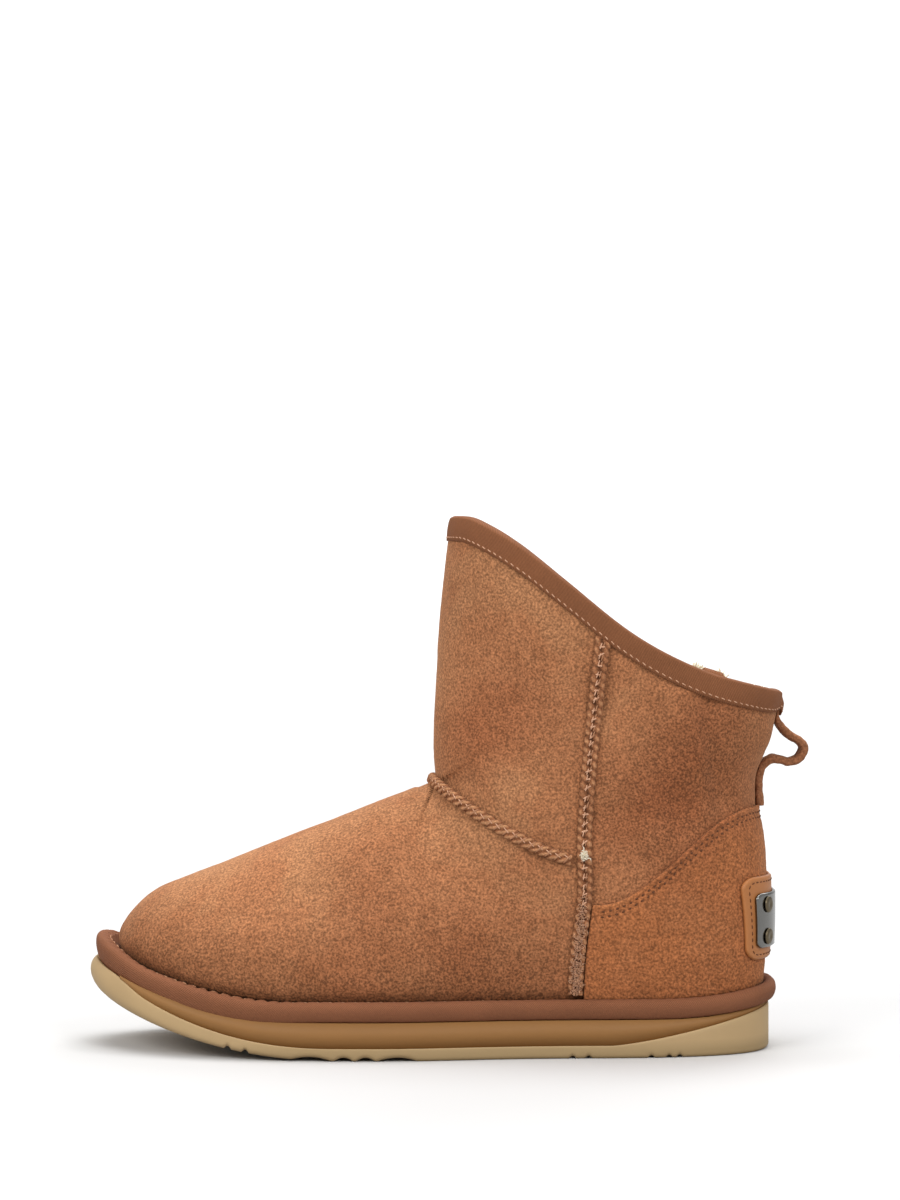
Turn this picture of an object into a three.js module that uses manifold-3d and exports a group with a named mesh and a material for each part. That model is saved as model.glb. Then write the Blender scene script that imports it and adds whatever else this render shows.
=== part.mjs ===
// A short sheepskin boot for the left foot, standing empty on its sole.
// Millimetres, +Z up, the toe towards -X, the outer (lateral) side of the foot towards -Y.
// Every piece is worked out from one form: the outside of the upper, which is a width at each
// place of the side view. The foot below the ankle line is a last, in sections along its length,
// and the shaft above it is a tube whose level sections are full ovals.
import * as THREE from "three";
import { mergeVertices } from "three/addons/utils/BufferGeometryUtils.js";
import Module from "manifold-3d";

const wasm = await Module();
wasm.setup();

// Driving dimensions: the last.
const LENGTH = 253.8; // the upper at its lower edge, from toe to heel
const BALL_WIDTH = 87;
const HEEL_WIDTH = 73;
const SHAFT_WIDTH = 88;
const TOE_HEIGHT = 54; // where the line of the vamp would meet the front of the toe
const INSTEP_HEIGHT = 104.2; // the crease between vamp and shaft
const COLLAR_FRONT_HEIGHT = 206.8;
const COLLAR_BACK_HEIGHT = 138.2;
const SHAFT_LEAN = 6.8; // how far the front of the shaft leans back from crease to collar
const HEEL_CURVE = 6; // depth of the curve of the back seen from the side
const COLLAR_DIP = 10; // how far the collar sags below a straight line at its sides
const TOE_SWING = 11; // the toe's tip lies towards the inner side of the foot
const ANKLE_BLEND = 30; // half the band in which the foot's form passes into the shaft's
const WALL = 3; // sheepskin: the leather with the root of its wool
const CLEARANCE = 0.3;

// Driving dimensions: the bottom.
const SOLE_HEIGHT = 21.4; // lower edge of the upper above the floor, along the ball and waist
const TOE_RISE = 16; // how far that edge lifts at the toe
const HEEL_RISE = 3.5;
const TOE_SPRING = 23.2; // the outsole's underside above the floor at the toe's tip
const ARCH_HEIGHT = 2.4;
const WELT_HEIGHT = 7.8;
const WELT_STAND = 1; // the top of the welt's roll above the edge of the upper
const FLANGE = 4.5; // the welt reaches this far in under the wall
const OUTSOLE_HEIGHT = 4.9; // visible height of the outsole along the waist
const OUTSOLE_WRAP_TOE = 24; // how far the outsole climbs at the toe and at the heel
const OUTSOLE_WRAP_HEEL = 12;
const MIDSOLE_EDGE = 1.2; // thickness at which the midsole stops at each end
const MIDSOLE_INSET = 0.9;
const SOLE_EDGE_RADIUS = 1.6; // of the outsole's lower edge, and at its toe
const SOLE_TOE_RADIUS = 6;
const INSOLE_THICKNESS = 7.2;

// How far each layer stands out from the lower edge of the upper.
const REACH = {
  welt: { toe: 8.8, side: 6.6, heel: 6.7 },
  outsole: { toe: 11, side: 6.2, heel: 3.8 },
};

// Driving dimensions: what is sewn on.
const OVERLAY_CLEARANCE = 0.45; // where facets of two curved pieces face each other
const COUNTER_THICKNESS = 1.3;
const COUNTER_FRONT_HEIGHT = 58.5;
const COUNTER_BACK_HEIGHT = 94.5;
const SEAM_WIDTH = 6;
const SEAM_THICKNESS = 1.9;
const SEAM_FOOT = 1.4; // the side seams stop this far above the welt
const VAMP_SEAM_WIDTH = 4;
const VAMP_SEAM_THICKNESS = 1.9;
const VAMP_SEAM_DROP = 28.5; // from the crease to the side seams
const VAMP_SEAM_LIFT = 1.9; // the bead stands off the leather where it bridges the crease
const VAMP_SEAM_BRIDGE = 22; // and lies down again this far behind it
const BINDING_WIDTH = 8.4;
const TAPE_THICKNESS = 1.1;
const PATCH = { width: 57, height: 32, middle: 51.7, thickness: 1.5, corner: 5 };
const PLATE = { width: 45, height: 21, middle: 50.9, thickness: 1.2, corner: 2.4 };
const RIVET_DIAMETER = 6.4;
const RIVET_HEIGHT = 1.1;
const RIVET_INSET = 5.2; // from the plate's edges to a rivet's middle
const LOOP_WIDTH = 13;
const LOOP_THICKNESS = 3.2;
const LOOP_REACH = 16; // how far the fold's outside stands from the shaft
const LOOP_FOOT_GAP = 1.4; // the strap ends this far above the counter

// How finely the curved pieces are divided.
const AROUND = 44;
const UP = 24;
const CREASE_ROW = 13; // the ring that runs through the crease
const COUNTER_COLUMNS = 26;
const COUNTER_ROWS = 8;

// Where things lie along the foot, as shares of LENGTH from the toe.
const CREASE_AT = 0.4965;
const NOSE_LENGTH = 0.08;
const SPRING_START = 0.284;
const UNDERSIDE_START = 0.355;
const WRAP_START = 0.343;
const HEEL_WRAP_START = 0.764;
const HEEL_RISE_START = 0.85;
const ANKLE_FOOT_AT = 0.75; // the ankle line comes down to the sole here
const SIDE_SEAM_FOOT_AT = 0.709;
const SIDE_SEAM_TOP_AT = 0.757;

// Half-widths of the foot from its middle line, as shares of BALL_WIDTH.
const FOOT_WIDTHS = [
  { along: 0, outer: 0.49, inner: 0.43 },
  { along: 0.15, outer: 0.515, inner: 0.44 },
  { along: 0.3, outer: 0.532, inner: 0.468 },
  { along: 0.42, outer: 0.522, inner: 0.445 },
  { along: 0.5, outer: 0.495, inner: 0.4 },
  { along: 0.6, outer: 0.45, inner: 0.365 },
  { along: 0.7, outer: 0.425, inner: 0.375 },
  { along: 0.9, outer: 0.41, inner: 0.4 },
];

// The back seen from the side: "up" is a share of COLLAR_BACK_HEIGHT, "out" of HEEL_CURVE.
const BACK_LINE = [
  { up: 0.15, out: -0.05 },
  { up: 0.36, out: 0.2 },
  { up: 0.57, out: 0.1 },
  { up: 0.69, out: -0.3 },
  { up: 0.77, out: -0.3 },
  { up: 0.83, out: 0.2 },
  { up: 0.87, out: 0.6 },
  { up: 0.92, out: 0.9 },
  { up: 1, out: 1.3 },
];

// The collar seen from the side: "along" from front to back, "rise" as a share of COLLAR_DIP.
const COLLAR_LINE = [
  { along: 0, rise: 0 },
  { along: 0.06, rise: 0.28 },
  { along: 0.19, rise: 0.2 },
  { along: 0.33, rise: -0.25 },
  { along: 0.5, rise: -0.85 },
  { along: 0.62, rise: -1 },
  { along: 0.76, rise: -0.85 },
  { along: 0.9, rise: -0.4 },
  { along: 1, rise: 0 },
];

// The welt's roll: "out" from the wall to the reach, "up" as a share of WELT_HEIGHT.
const WELT_ROLL = [
  { out: 0.06, up: 0.94 },
  { out: 0.3, up: 1 },
  { out: 0.64, up: 0.95 },
  { out: 0.9, up: 0.77 },
  { out: 1, up: 0.5 },
  { out: 0.92, up: 0.24 },
  { out: 0.7, up: 0.06 },
  { out: 0.36, up: 0 },
];

// Grooves across the tread: "along" the foot, "wide" and "deep" in millimetres, round or a notch.
const GROOVE_DEPTH = 1.4;
const GROOVES = [
  { along: 0.186, wide: 2.6, deep: 0.9, round: false },
  { along: 0.213, wide: 2.6, deep: 0.9, round: false },
  { along: 0.313, wide: 15.2, deep: 1, round: true },
  { along: 0.361, wide: 7.2, deep: 1, round: true },
  { along: 0.394, wide: 7.2, deep: 1, round: true },
  { along: 0.441, wide: 15.2, deep: 1, round: true },
  { along: 0.705, wide: 2.6, deep: 0.7, round: false },
  { along: 0.729, wide: 2.6, deep: 0.7, round: false },
  { along: 0.824, wide: 2.6, deep: 0.7, round: false },
  { along: 0.851, wide: 2.6, deep: 0.7, round: false },
  { along: 0.867, wide: 2.6, deep: 0.7, round: false },
];

// The pull loop's strap, from the binding down: "up" is a share of the height between the
// counter and the binding, "out" a share of LOOP_REACH from the shaft.
const LOOP_FOLD = [
  { up: 0.9, out: 0.02 },
  { up: 0.78, out: 0.38 },
  { up: 0.7, out: 0.76 },
  { up: 0.585, out: 0.95 },
  { up: 0.485, out: 0.86 },
  { up: 0.47, out: 0.5 },
  { up: 0.44, out: 0.2 },
  { up: 0.34, out: 0.03 },
];

const clamp = (v, low, high) => Math.min(high, Math.max(low, v));
const mix = (a, b, share) => a + (b - a) * share;
const smooth = (v) => {
  const c = clamp(v, 0, 1);
  return c * c * (3 - 2 * c);
};
const alongX = (share) => (share - 0.5) * LENGTH;
const shareOf = (x) => x / LENGTH + 0.5;

// A smooth curve through a column of a table, level beyond its two ends.
function curveOf(rows, key, column) {
  const slope = (i) => {
    const a = rows[Math.max(0, i - 1)];
    const b = rows[Math.min(rows.length - 1, i + 1)];
    return (b[column] - a[column]) / (b[key] - a[key]);
  };
  return (at) => {
    const v = clamp(at, rows[0][key], rows[rows.length - 1][key]);
    const i = clamp(rows.findIndex((r) => r[key] >= v) - 1, 0, rows.length - 2);
    const span = rows[i + 1][key] - rows[i][key];
    const s = (v - rows[i][key]) / span;
    const h = s * s * (3 - 2 * s);
    const a = s * (1 - s) * (1 - s) * span * slope(i);
    const b = s * s * (s - 1) * span * slope(i + 1);
    return mix(rows[i][column], rows[i + 1][column], h) + a + b;
  };
}

const footOuter = curveOf(FOOT_WIDTHS, "along", "outer");
const footInner = curveOf(FOOT_WIDTHS, "along", "inner");
const backOut = curveOf(BACK_LINE, "up", "out");
const collarRise = curveOf(COLLAR_LINE, "along", "rise");

// Heights of the bottom's layers at a place along the foot.
function edgeHeight(x) {
  const share = shareOf(x);
  const toe = Math.max(0, (SPRING_START - share) / SPRING_START);
  const heel = Math.max(0, (share - HEEL_RISE_START) / (1 - HEEL_RISE_START));
  return SOLE_HEIGHT + TOE_RISE * toe ** 1.9 + HEEL_RISE * heel ** 2;
}
const layerTop = (x) => edgeHeight(x) + WELT_STAND - WELT_HEIGHT - OVERLAY_CLEARANCE;
function undersideHeight(x, y) {
  const share = shareOf(x);
  const tip = REACH.outsole.toe / LENGTH;
  const spring = Math.max(0, (UNDERSIDE_START - share) / (UNDERSIDE_START + tip));
  const waist = Math.sin(Math.PI * clamp((share - 0.52) / 0.26, 0, 1)) ** 2;
  const inner = smooth((y + 0.36 * BALL_WIDTH) / (0.6 * BALL_WIDTH));
  return TOE_SPRING * spring ** 2.1 + ARCH_HEIGHT * waist * inner;
}
function wrapHeight(x) {
  const share = shareOf(x);
  const toe = Math.max(0, (WRAP_START - share) / WRAP_START);
  const heel = Math.max(0, (share - HEEL_WRAP_START) / (1 - HEEL_WRAP_START));
  return OUTSOLE_HEIGHT + OUTSOLE_WRAP_TOE * toe ** 2.2 + OUTSOLE_WRAP_HEEL * heel ** 1.3;
}

// The front of the form: the ridge of the vamp, and the front of the shaft.
function ridgeHeight(x) {
  const share = shareOf(x);
  const low = edgeHeight(Math.max(x, alongX(0)));
  const line = TOE_HEIGHT + ((INSTEP_HEIGHT - TOE_HEIGHT) * share) / CREASE_AT;
  const nose = (1 - (1 - clamp(share / NOSE_LENGTH, 0, 1)) ** 2.3) ** (1 / 2.3);
  const climb = Math.max(0, share - CREASE_AT) ** 2 * INSTEP_HEIGHT * 14;
  return mix(low, line, nose) + climb;
}
function shaftFront(z) {
  const above = (z - INSTEP_HEIGHT) / (COLLAR_FRONT_HEIGHT - INSTEP_HEIGHT);
  return above > 0
    ? alongX(CREASE_AT) + SHAFT_LEAN * above ** 2
    : alongX(CREASE_AT) + 0.42 * (z - INSTEP_HEIGHT);
}
const shaftBack = (z) => alongX(1) + HEEL_CURVE * backOut(z / COLLAR_BACK_HEIGHT);

// Half the width of the foot's form on one side, and of the shaft's.
function footHalf(x, z, side) {
  const share = shareOf(x);
  const low = edgeHeight(x);
  const h = (z - low) / (ridgeHeight(x) - low);
  if (h >= 1 || share <= 0) return 0;
  const wide = BALL_WIDTH * (side < 0 ? footOuter(share) : footInner(share));
  const toe = (1 - (1 - clamp(share / 0.3, 0, 1)) ** 2.4) ** (1 / 2.4);
  const up = Math.max(0, h);
  const power = mix(2.5, 1.9, smooth((share - 0.1) / 0.4));
  const bulge = 1 + 0.035 * Math.sin(Math.PI * clamp(up / 0.6, 0, 1));
  return wide * toe * bulge * (1 - up ** power) ** 0.5;
}
function shaftHalf(x, z) {
  const front = shaftFront(z);
  const across = (2 * (x - front)) / (shaftBack(z) - front) - 1;
  if (Math.abs(across) >= 1) return 0;
  const up = smooth((z - SOLE_HEIGHT) / COLLAR_BACK_HEIGHT);
  const bulge = 1 + 0.05 * Math.sin(Math.PI * clamp((z - SOLE_HEIGHT) / (0.5 * COLLAR_BACK_HEIGHT), 0, 1));
  const half = (mix(HEEL_WIDTH, SHAFT_WIDTH, up) / 2) * bulge;
  const power = mix(2.8, 2.2, up);
  return half * (1 - Math.abs(across) ** power) ** (1 / power);
}

// The share of the shaft's form, which grows across the ankle line from crease to heel seat.
const ankleTop = new THREE.Vector2(alongX(CREASE_AT), INSTEP_HEIGHT);
const ankleFoot = new THREE.Vector2(alongX(ANKLE_FOOT_AT), SOLE_HEIGHT);
const ankleRun = ankleFoot.clone().sub(ankleTop).normalize();
function shaftShare(x, z) {
  const across = -ankleRun.y * (x - ankleTop.x) + ankleRun.x * (z - ankleTop.y);
  return smooth(0.5 + across / (2 * ANKLE_BLEND));
}

// Width of the whole form at a place of the side view: side is -1 outside, +1 inside.
function formY(x, z, side) {
  const share = shareOf(x);
  const shaft = clamp(shaftShare(x, z), 0.001, 0.999);
  const footPart = (1 - shaft) * footHalf(x, z, side);
  const shaftPart = shaft * shaftHalf(x, z);
  const weight = footPart + shaftPart;
  const half = weight > 0 ? (footPart * footHalf(x, z, side) + shaftPart * shaftHalf(x, z)) / weight : 0;
  const swing = TOE_SWING * Math.max(0, 1 - share / 0.45) ** 1.5 * (1 - shaft);
  return swing + side * half;
}

// The form as rings from its lower edge (u = 0) to the collar (u = 1), each closed around t:
// t = 0 is the front, a half turn is the back, and the outer side comes first.
const CREASE_U = CREASE_ROW / UP;
function ringEnds(u) {
  const run = Math.min(1, u / CREASE_U);
  const vamp = alongX(CREASE_AT * (1 - (1 - run ** 2) ** 1.3));
  const shaft = Math.max(0, (u - CREASE_U) / (1 - CREASE_U));
  const frontZ = shaft > 0 ? mix(INSTEP_HEIGHT, COLLAR_FRONT_HEIGHT, shaft) : ridgeHeight(vamp);
  const low = edgeHeight(alongX(1));
  const backZ = mix(low, COLLAR_BACK_HEIGHT, 0.82 * u + 0.18 * u * u);
  return { frontX: shaft > 0 ? shaftFront(frontZ) : vamp, frontZ, backX: shaftBack(backZ), backZ };
}
function formPoint(u, t) {
  const e = ringEnds(u);
  const turn = THREE.MathUtils.euclideanModulo(t, 2 * Math.PI);
  const s = (1 - Math.cos(turn)) / 2;
  const x = mix(e.frontX, e.backX, s);
  const follow = Math.max(0, 1 - u / 0.5) ** 1.5;
  const straight = mix(edgeHeight(e.frontX), edgeHeight(e.backX), s);
  const collar = smooth((u - 0.6) / 0.4) * COLLAR_DIP * collarRise(s);
  const z = mix(e.frontZ, e.backZ, s) + follow * (edgeHeight(x) - straight) + collar;
  const side = turn <= Math.PI ? -1 : 1;
  const middle = s < 1e-9 || s > 1 - 1e-9;
  const y = middle ? (formY(x, z, -1) + formY(x, z, 1)) / 2 : formY(x, z, side);
  return new THREE.Vector3(x, y, z);
}
const STEP = 1e-3;
function formFrame(u, t) {
  const up = formPoint(Math.min(1, u + STEP), t).sub(formPoint(Math.max(0, u - STEP), t));
  const round = formPoint(u, t + STEP).sub(formPoint(u, t - STEP));
  return { up: up.normalize(), out: round.cross(up).normalize() };
}

// A point a given distance outside (or, below zero, inside) the form. At the lower edge the
// offset is level, so that the wall ends square on the welt.
function offsetPoint(u, t, distance) {
  const p = formPoint(u, t);
  const { out } = formFrame(u, t);
  const free = Math.min(1, u / 0.08);
  out.z *= free;
  out.normalize();
  const q = p.clone().addScaledVector(out, distance);
  q.z += (1 - free) * (edgeHeight(q.x) - edgeHeight(p.x));
  return q;
}

// The same on one side by its place in the side view, and on the back by its place from behind.
function gradientFrame(x, z, side) {
  const dx = (formY(x + 0.05, z, side) - formY(x - 0.05, z, side)) / 0.1;
  const dz = (formY(x, z + 0.05, side) - formY(x, z - 0.05, side)) / 0.1;
  return new THREE.Vector3(-side * dx, side, -side * dz).normalize();
}
function sidePoint(x, z, side, distance) {
  const p = new THREE.Vector3(x, formY(x, z, side), z);
  const out = gradientFrame(x, z, side);
  if (out.y * side < 0) out.negate();
  return p.addScaledVector(out, distance);
}
function backX(y, z) {
  const side = y < 0 ? -1 : 1;
  let near = shaftBack(z);
  let far = near - 0.3 * LENGTH;
  for (let i = 0; i < 40; i += 1) {
    const tried = (near + far) / 2;
    if (Math.abs(formY(tried, z, side)) < Math.abs(y)) near = tried;
    else far = tried;
  }
  return (near + far) / 2;
}
function backPoint(y, z, distance) {
  const dy = (backX(y + 0.2, z) - backX(y - 0.2, z)) / 0.4;
  const dz = (backX(y, z + 0.2) - backX(y, z - 0.2)) / 0.4;
  const out = new THREE.Vector3(1, -dy, -dz).normalize();
  return new THREE.Vector3(backX(y, z), y, z).addScaledVector(out, distance);
}

// Meshes: loops of points joined by quads. Points that coincide are merged, and faces that
// collapse on them are dropped, so a loop may fold flat onto a line and close the body there.
function geometryOf(points, faces) {
  const raw = new THREE.BufferGeometry();
  raw.setAttribute("position", new THREE.Float32BufferAttribute(points.flatMap((p) => [p.x, p.y, p.z]), 3));
  raw.setIndex(faces.flat());
  const merged = mergeVertices(raw, 1e-4);
  const index = merged.index.array;
  const kept = [];
  for (let i = 0; i < index.length; i += 3) {
    const [a, b, c] = [index[i], index[i + 1], index[i + 2]];
    if (a !== b && b !== c && c !== a) kept.push(a, b, c);
  }
  merged.setIndex(kept);
  return merged;
}
function joinLoops(loops, { wrap = false, caps = false, flip = false } = {}) {
  const count = loops[0].length;
  const faces = [];
  const add = (a, b, c) => faces.push(flip ? [a, c, b] : [a, b, c]);
  const last = wrap ? loops.length : loops.length - 1;
  for (let j = 0; j < last; j += 1) {
    const low = j * count;
    const high = ((j + 1) % loops.length) * count;
    for (let i = 0; i < count; i += 1) {
      const next = (i + 1) % count;
      add(low + i, low + next, high + next);
      add(low + i, high + next, high + i);
    }
  }
  const points = loops.flat();
  if (caps) {
    const top = (loops.length - 1) * count;
    for (let i = 1; i < count - 1; i += 1) {
      add(0, i + 1, i);
      add(top, top + i, top + i + 1);
    }
  }
  return geometryOf(points, faces);
}
function solidOf(geometry) {
  const only = new THREE.BufferGeometry();
  only.setAttribute("position", geometry.getAttribute("position"));
  if (geometry.index) only.setIndex(geometry.index);
  const merged = mergeVertices(only, 1e-4);
  const mesh = new wasm.Mesh({
    numProp: 3,
    vertProperties: new Float32Array(merged.getAttribute("position").array),
    triVerts: new Uint32Array(merged.index.array),
  });
  return new wasm.Manifold(mesh);
}
function geometryFrom(solid) {
  const mesh = solid.getMesh();
  const made = new THREE.BufferGeometry();
  made.setAttribute("position", new THREE.BufferAttribute(new Float32Array(mesh.vertProperties), 3));
  made.setIndex(new THREE.BufferAttribute(new Uint32Array(mesh.triVerts), 1));
  return made;
}

// Loops around the bottom, at a distance outside the upper's lower edge.
const turns = Array.from({ length: AROUND }, (_, i) => (2 * Math.PI * i) / AROUND);
function edgeNormal(t) {
  const run = formPoint(0, t + STEP).sub(formPoint(0, t - STEP));
  return new THREE.Vector2(run.y, -run.x).normalize();
}
function edgeLoop(distance, height) {
  return turns.map((t) => {
    const p = formPoint(0, t);
    const out = edgeNormal(t);
    const far = typeof distance === "number" ? distance : distance(out);
    const x = p.x + out.x * far;
    const y = p.y + out.y * far;
    return new THREE.Vector3(x, y, height(x, y));
  });
}
const reachOf = (reach, extra = 0) => (out) => {
  const toe = Math.max(0, -out.x) ** 2 * (reach.toe - reach.side);
  const heel = Math.max(0, out.x) ** 2 * (reach.heel - reach.side);
  return reach.side + toe + heel + extra;
};
// A loop drawn in towards the middle line of the foot; at share 0 it lies folded on that line.
function drawnIn(loop, share, height) {
  return loop.map((p, i) => {
    const mate = loop[(AROUND - i) % AROUND];
    const middleX = ((p.x + mate.x) / 2) * 0.8;
    const middleY = (p.y + mate.y) / 2;
    const x = mix(middleX, p.x, share);
    const y = mix(middleY, p.y, share);
    return new THREE.Vector3(x, y, height(x, y));
  });
}

function upperGeometry() {
  const ring = (u, distance) => turns.map((t) => offsetPoint(u, t, distance));
  const rows = Array.from({ length: UP + 1 }, (_, i) => i / UP);
  const outside = rows.map((u) => ring(u, 0));
  const inside = rows.map((u) => ring(u, -WALL)).reverse();
  return joinLoops([...outside, ...inside], { wrap: true });
}

function weltGeometry() {
  const start = OVERLAY_CLEARANCE + COUNTER_THICKNESS + OVERLAY_CLEARANCE;
  const low = WELT_STAND - WELT_HEIGHT;
  const loops = [
    edgeLoop(-FLANGE, (x) => edgeHeight(x) + low),
    edgeLoop(-FLANGE, (x) => edgeHeight(x) - CLEARANCE),
    edgeLoop(start, (x) => edgeHeight(x) - CLEARANCE),
  ];
  for (const row of WELT_ROLL) {
    const reach = reachOf(REACH.welt);
    const distance = (out) => mix(start, reach(out), row.out);
    loops.push(edgeLoop(distance, (x) => edgeHeight(x) + low + WELT_HEIGHT * row.up));
  }
  return joinLoops(loops, { wrap: true, flip: true });
}

// A plate with the foot's outline between two heights, with a rounded lower edge.
function plateGeometry(reach, bottom, top, radius, toeRadius) {
  const wide = edgeLoop(reach, top);
  const round = (out) => mix(radius, toeRadius, Math.max(0, -out.x) ** 2);
  const rounded = (share, rise) =>
    edgeLoop((out) => reach(out) - (1 - share) * round(out), bottom).map((p, i) => {
      p.z += rise * round(edgeNormal(turns[i]));
      return p;
    });
  const narrow = rounded(0, 0);
  const loops = [
    drawnIn(narrow, 0, bottom),
    drawnIn(narrow, 0.55, bottom),
    narrow,
    rounded(0.7, 0.3),
    rounded(1, 1),
    wide,
    drawnIn(wide, 0.55, top),
    drawnIn(wide, 0, top),
  ];
  return joinLoops(loops);
}

// A prism across the foot, whose outline is drawn in the side view.
function acrossFoot(outline) {
  const shape = new THREE.Shape(outline);
  const depth = 2 * BALL_WIDTH;
  const made = new THREE.ExtrudeGeometry(shape, { depth, bevelEnabled: false });
  made.rotateX(Math.PI / 2);
  made.translate(0, depth / 2, 0);
  return made;
}
// The space of the midsole seen from the side, above the outsole's wrapped edge.
function midsoleOutline(inset) {
  const rising = [];
  for (let share = 0; share <= 1.0001; share += 0.025) {
    const x = alongX(share);
    if (layerTop(x) - wrapHeight(x) > MIDSOLE_EDGE) {
      rising.push(new THREE.Vector2(x, wrapHeight(x) + inset));
    }
  }
  const first = rising[0];
  const last = rising[rising.length - 1];
  const over = edgeHeight(alongX(0)) + SOLE_HEIGHT;
  first.x += inset;
  last.x -= inset;
  return [...rising, new THREE.Vector2(last.x, over), new THREE.Vector2(first.x, over)];
}
function grooveOutline(groove) {
  const x = alongX(groove.along);
  const half = groove.wide / 2;
  const deep = groove.deep * GROOVE_DEPTH;
  const below = -GROOVE_DEPTH - TOE_SPRING / 8;
  const steps = groove.round ? 6 : 2;
  const points = [];
  for (let i = 0; i <= steps; i += 1) {
    const across = -1 + (2 * i) / steps;
    const px = x + half * across;
    points.push(new THREE.Vector2(px, undersideHeight(px, -BALL_WIDTH) + deep * (1 - across * across)));
  }
  points[0].y -= 0.05;
  points[steps].y -= 0.05;
  return [new THREE.Vector2(x - half, below), new THREE.Vector2(x + half, below), ...points.reverse()];
}
function outsoleGeometry() {
  const plate = plateGeometry(
    reachOf(REACH.outsole),
    undersideHeight,
    layerTop,
    SOLE_EDGE_RADIUS,
    SOLE_TOE_RADIUS,
  );
  let solid = solidOf(plate).subtract(solidOf(acrossFoot(midsoleOutline(0))));
  for (const groove of GROOVES) {
    solid = solid.subtract(solidOf(acrossFoot(grooveOutline(groove))));
  }
  return geometryFrom(solid);
}
function midsoleGeometry() {
  const low = (x) => wrapHeight(x) - 2;
  const plate = plateGeometry(reachOf(REACH.outsole, -MIDSOLE_INSET), low, layerTop, CLEARANCE, CLEARANCE);
  return geometryFrom(solidOf(plate).intersect(solidOf(acrossFoot(midsoleOutline(CLEARANCE)))));
}
function insoleGeometry() {
  const bottom = (x) => layerTop(x) + OVERLAY_CLEARANCE + CLEARANCE / 2;
  const top = (x) => bottom(x) + INSOLE_THICKNESS;
  return plateGeometry(() => -FLANGE - OVERLAY_CLEARANCE, bottom, top, 1, 1);
}

// The tape that binds the collar, folded over the rim.
function bindingGeometry() {
  const near = OVERLAY_CLEARANCE + CLEARANCE / 3;
  const far = near + TAPE_THICKNESS;
  const section = turns.map((t) => {
    const rim = formPoint(1, t);
    const { up, out } = formFrame(1, t);
    const rise = up.clone().addScaledVector(out, -up.dot(out)).normalize();
    const perU = formPoint(1, t).distanceTo(formPoint(1 - STEP, t)) / STEP;
    const place = (down, distance) => offsetPoint(1 - down / perU, t, distance);
    const over = (height, distance) => rim.clone().addScaledVector(rise, height).addScaledVector(out, distance);
    return [
      place(BINDING_WIDTH, near),
      place(BINDING_WIDTH, far),
      place(BINDING_WIDTH / 2, far + 0.2),
      over(0, far),
      over(near + TAPE_THICKNESS, 0),
      over(near + TAPE_THICKNESS, -WALL),
      over(0, -WALL - far),
      place(BINDING_WIDTH, -WALL - far),
      place(BINDING_WIDTH, -WALL - near),
      over(near, -WALL - near),
      over(near, near),
    ];
  });
  const loops = section[0].map((_, j) => section.map((s) => s[j]));
  return joinLoops(loops, { wrap: true });
}

// The line of a side seam in the side view.
const collarAtSeam = mix(COLLAR_FRONT_HEIGHT, COLLAR_BACK_HEIGHT, 0.5);
function seamX(z) {
  const up = clamp((z - SOLE_HEIGHT) / (collarAtSeam - SOLE_HEIGHT), 0, 1);
  return alongX(mix(SIDE_SEAM_FOOT_AT, SIDE_SEAM_TOP_AT, mix(up, up ** 2.5, 0.5)));
}
const counterTop = (x) => {
  const run = smooth((x - alongX(0.745)) / (alongX(0.985) - alongX(0.745)));
  return mix(COUNTER_FRONT_HEIGHT, COUNTER_BACK_HEIGHT, run);
};
// A sheet on the form: a grid of places, with a near and a far face.
function sheetGeometry(columns, rows, place, near, far) {
  const faceLoop = (distance, i) =>
    Array.from({ length: rows + 1 }, (_, j) => place(i / columns, j / rows, distance));
  const loops = [];
  for (let i = 0; i <= columns; i += 1) {
    loops.push([...faceLoop(near, i), ...faceLoop(far, i).reverse()]);
  }
  return closedSheet(loops, rows);
}
function closedSheet(loops, rows) {
  const count = loops[0].length;
  const faces = [];
  for (let i = 0; i < loops.length - 1; i += 1) {
    for (let j = 0; j < count; j += 1) {
      const a = i * count + j;
      const b = i * count + ((j + 1) % count);
      faces.push([a, b, b + count], [a, b + count, a + count]);
    }
  }
  const end = (loops.length - 1) * count;
  for (let j = 0; j < rows; j += 1) {
    const a = j;
    const b = j + 1;
    const c = count - 2 - j;
    const d = count - 1 - j;
    faces.push([a, c, b], [a, d, c]);
    faces.push([end + a, end + b, end + c], [end + a, end + c, end + d]);
  }
  return geometryOf(loops.flat(), faces);
}

function counterGeometry() {
  const edge = SEAM_WIDTH / 2 + CLEARANCE;
  const reachBack = (u) => {
    let low = 0.5;
    let high = Math.PI;
    for (let i = 0; i < 40; i += 1) {
      const t = (low + high) / 2;
      const p = formPoint(u, t);
      if (p.x < seamX(p.z) + edge) low = t;
      else high = t;
    }
    return Math.PI - high;
  };
  const foot = 0.004;
  const turnAt = (u, column) => Math.PI + (2 * column - 1) * reachBack(u);
  const topOf = (column) => {
    let low = foot;
    let high = CREASE_U + 0.3;
    for (let i = 0; i < 40; i += 1) {
      const u = (low + high) / 2;
      const p = formPoint(u, turnAt(u, column));
      if (p.z < counterTop(p.x)) low = u;
      else high = u;
    }
    return high;
  };
  const tops = Array.from({ length: COUNTER_COLUMNS + 1 }, (_, i) => topOf(i / COUNTER_COLUMNS));
  const place = (column, row, distance) => {
    const u = mix(foot, tops[Math.round(column * COUNTER_COLUMNS)], row);
    return offsetPoint(u, turnAt(u, column), distance);
  };
  const far = OVERLAY_CLEARANCE + COUNTER_THICKNESS;
  return sheetGeometry(COUNTER_COLUMNS, COUNTER_ROWS, place, OVERLAY_CLEARANCE, far);
}

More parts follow.
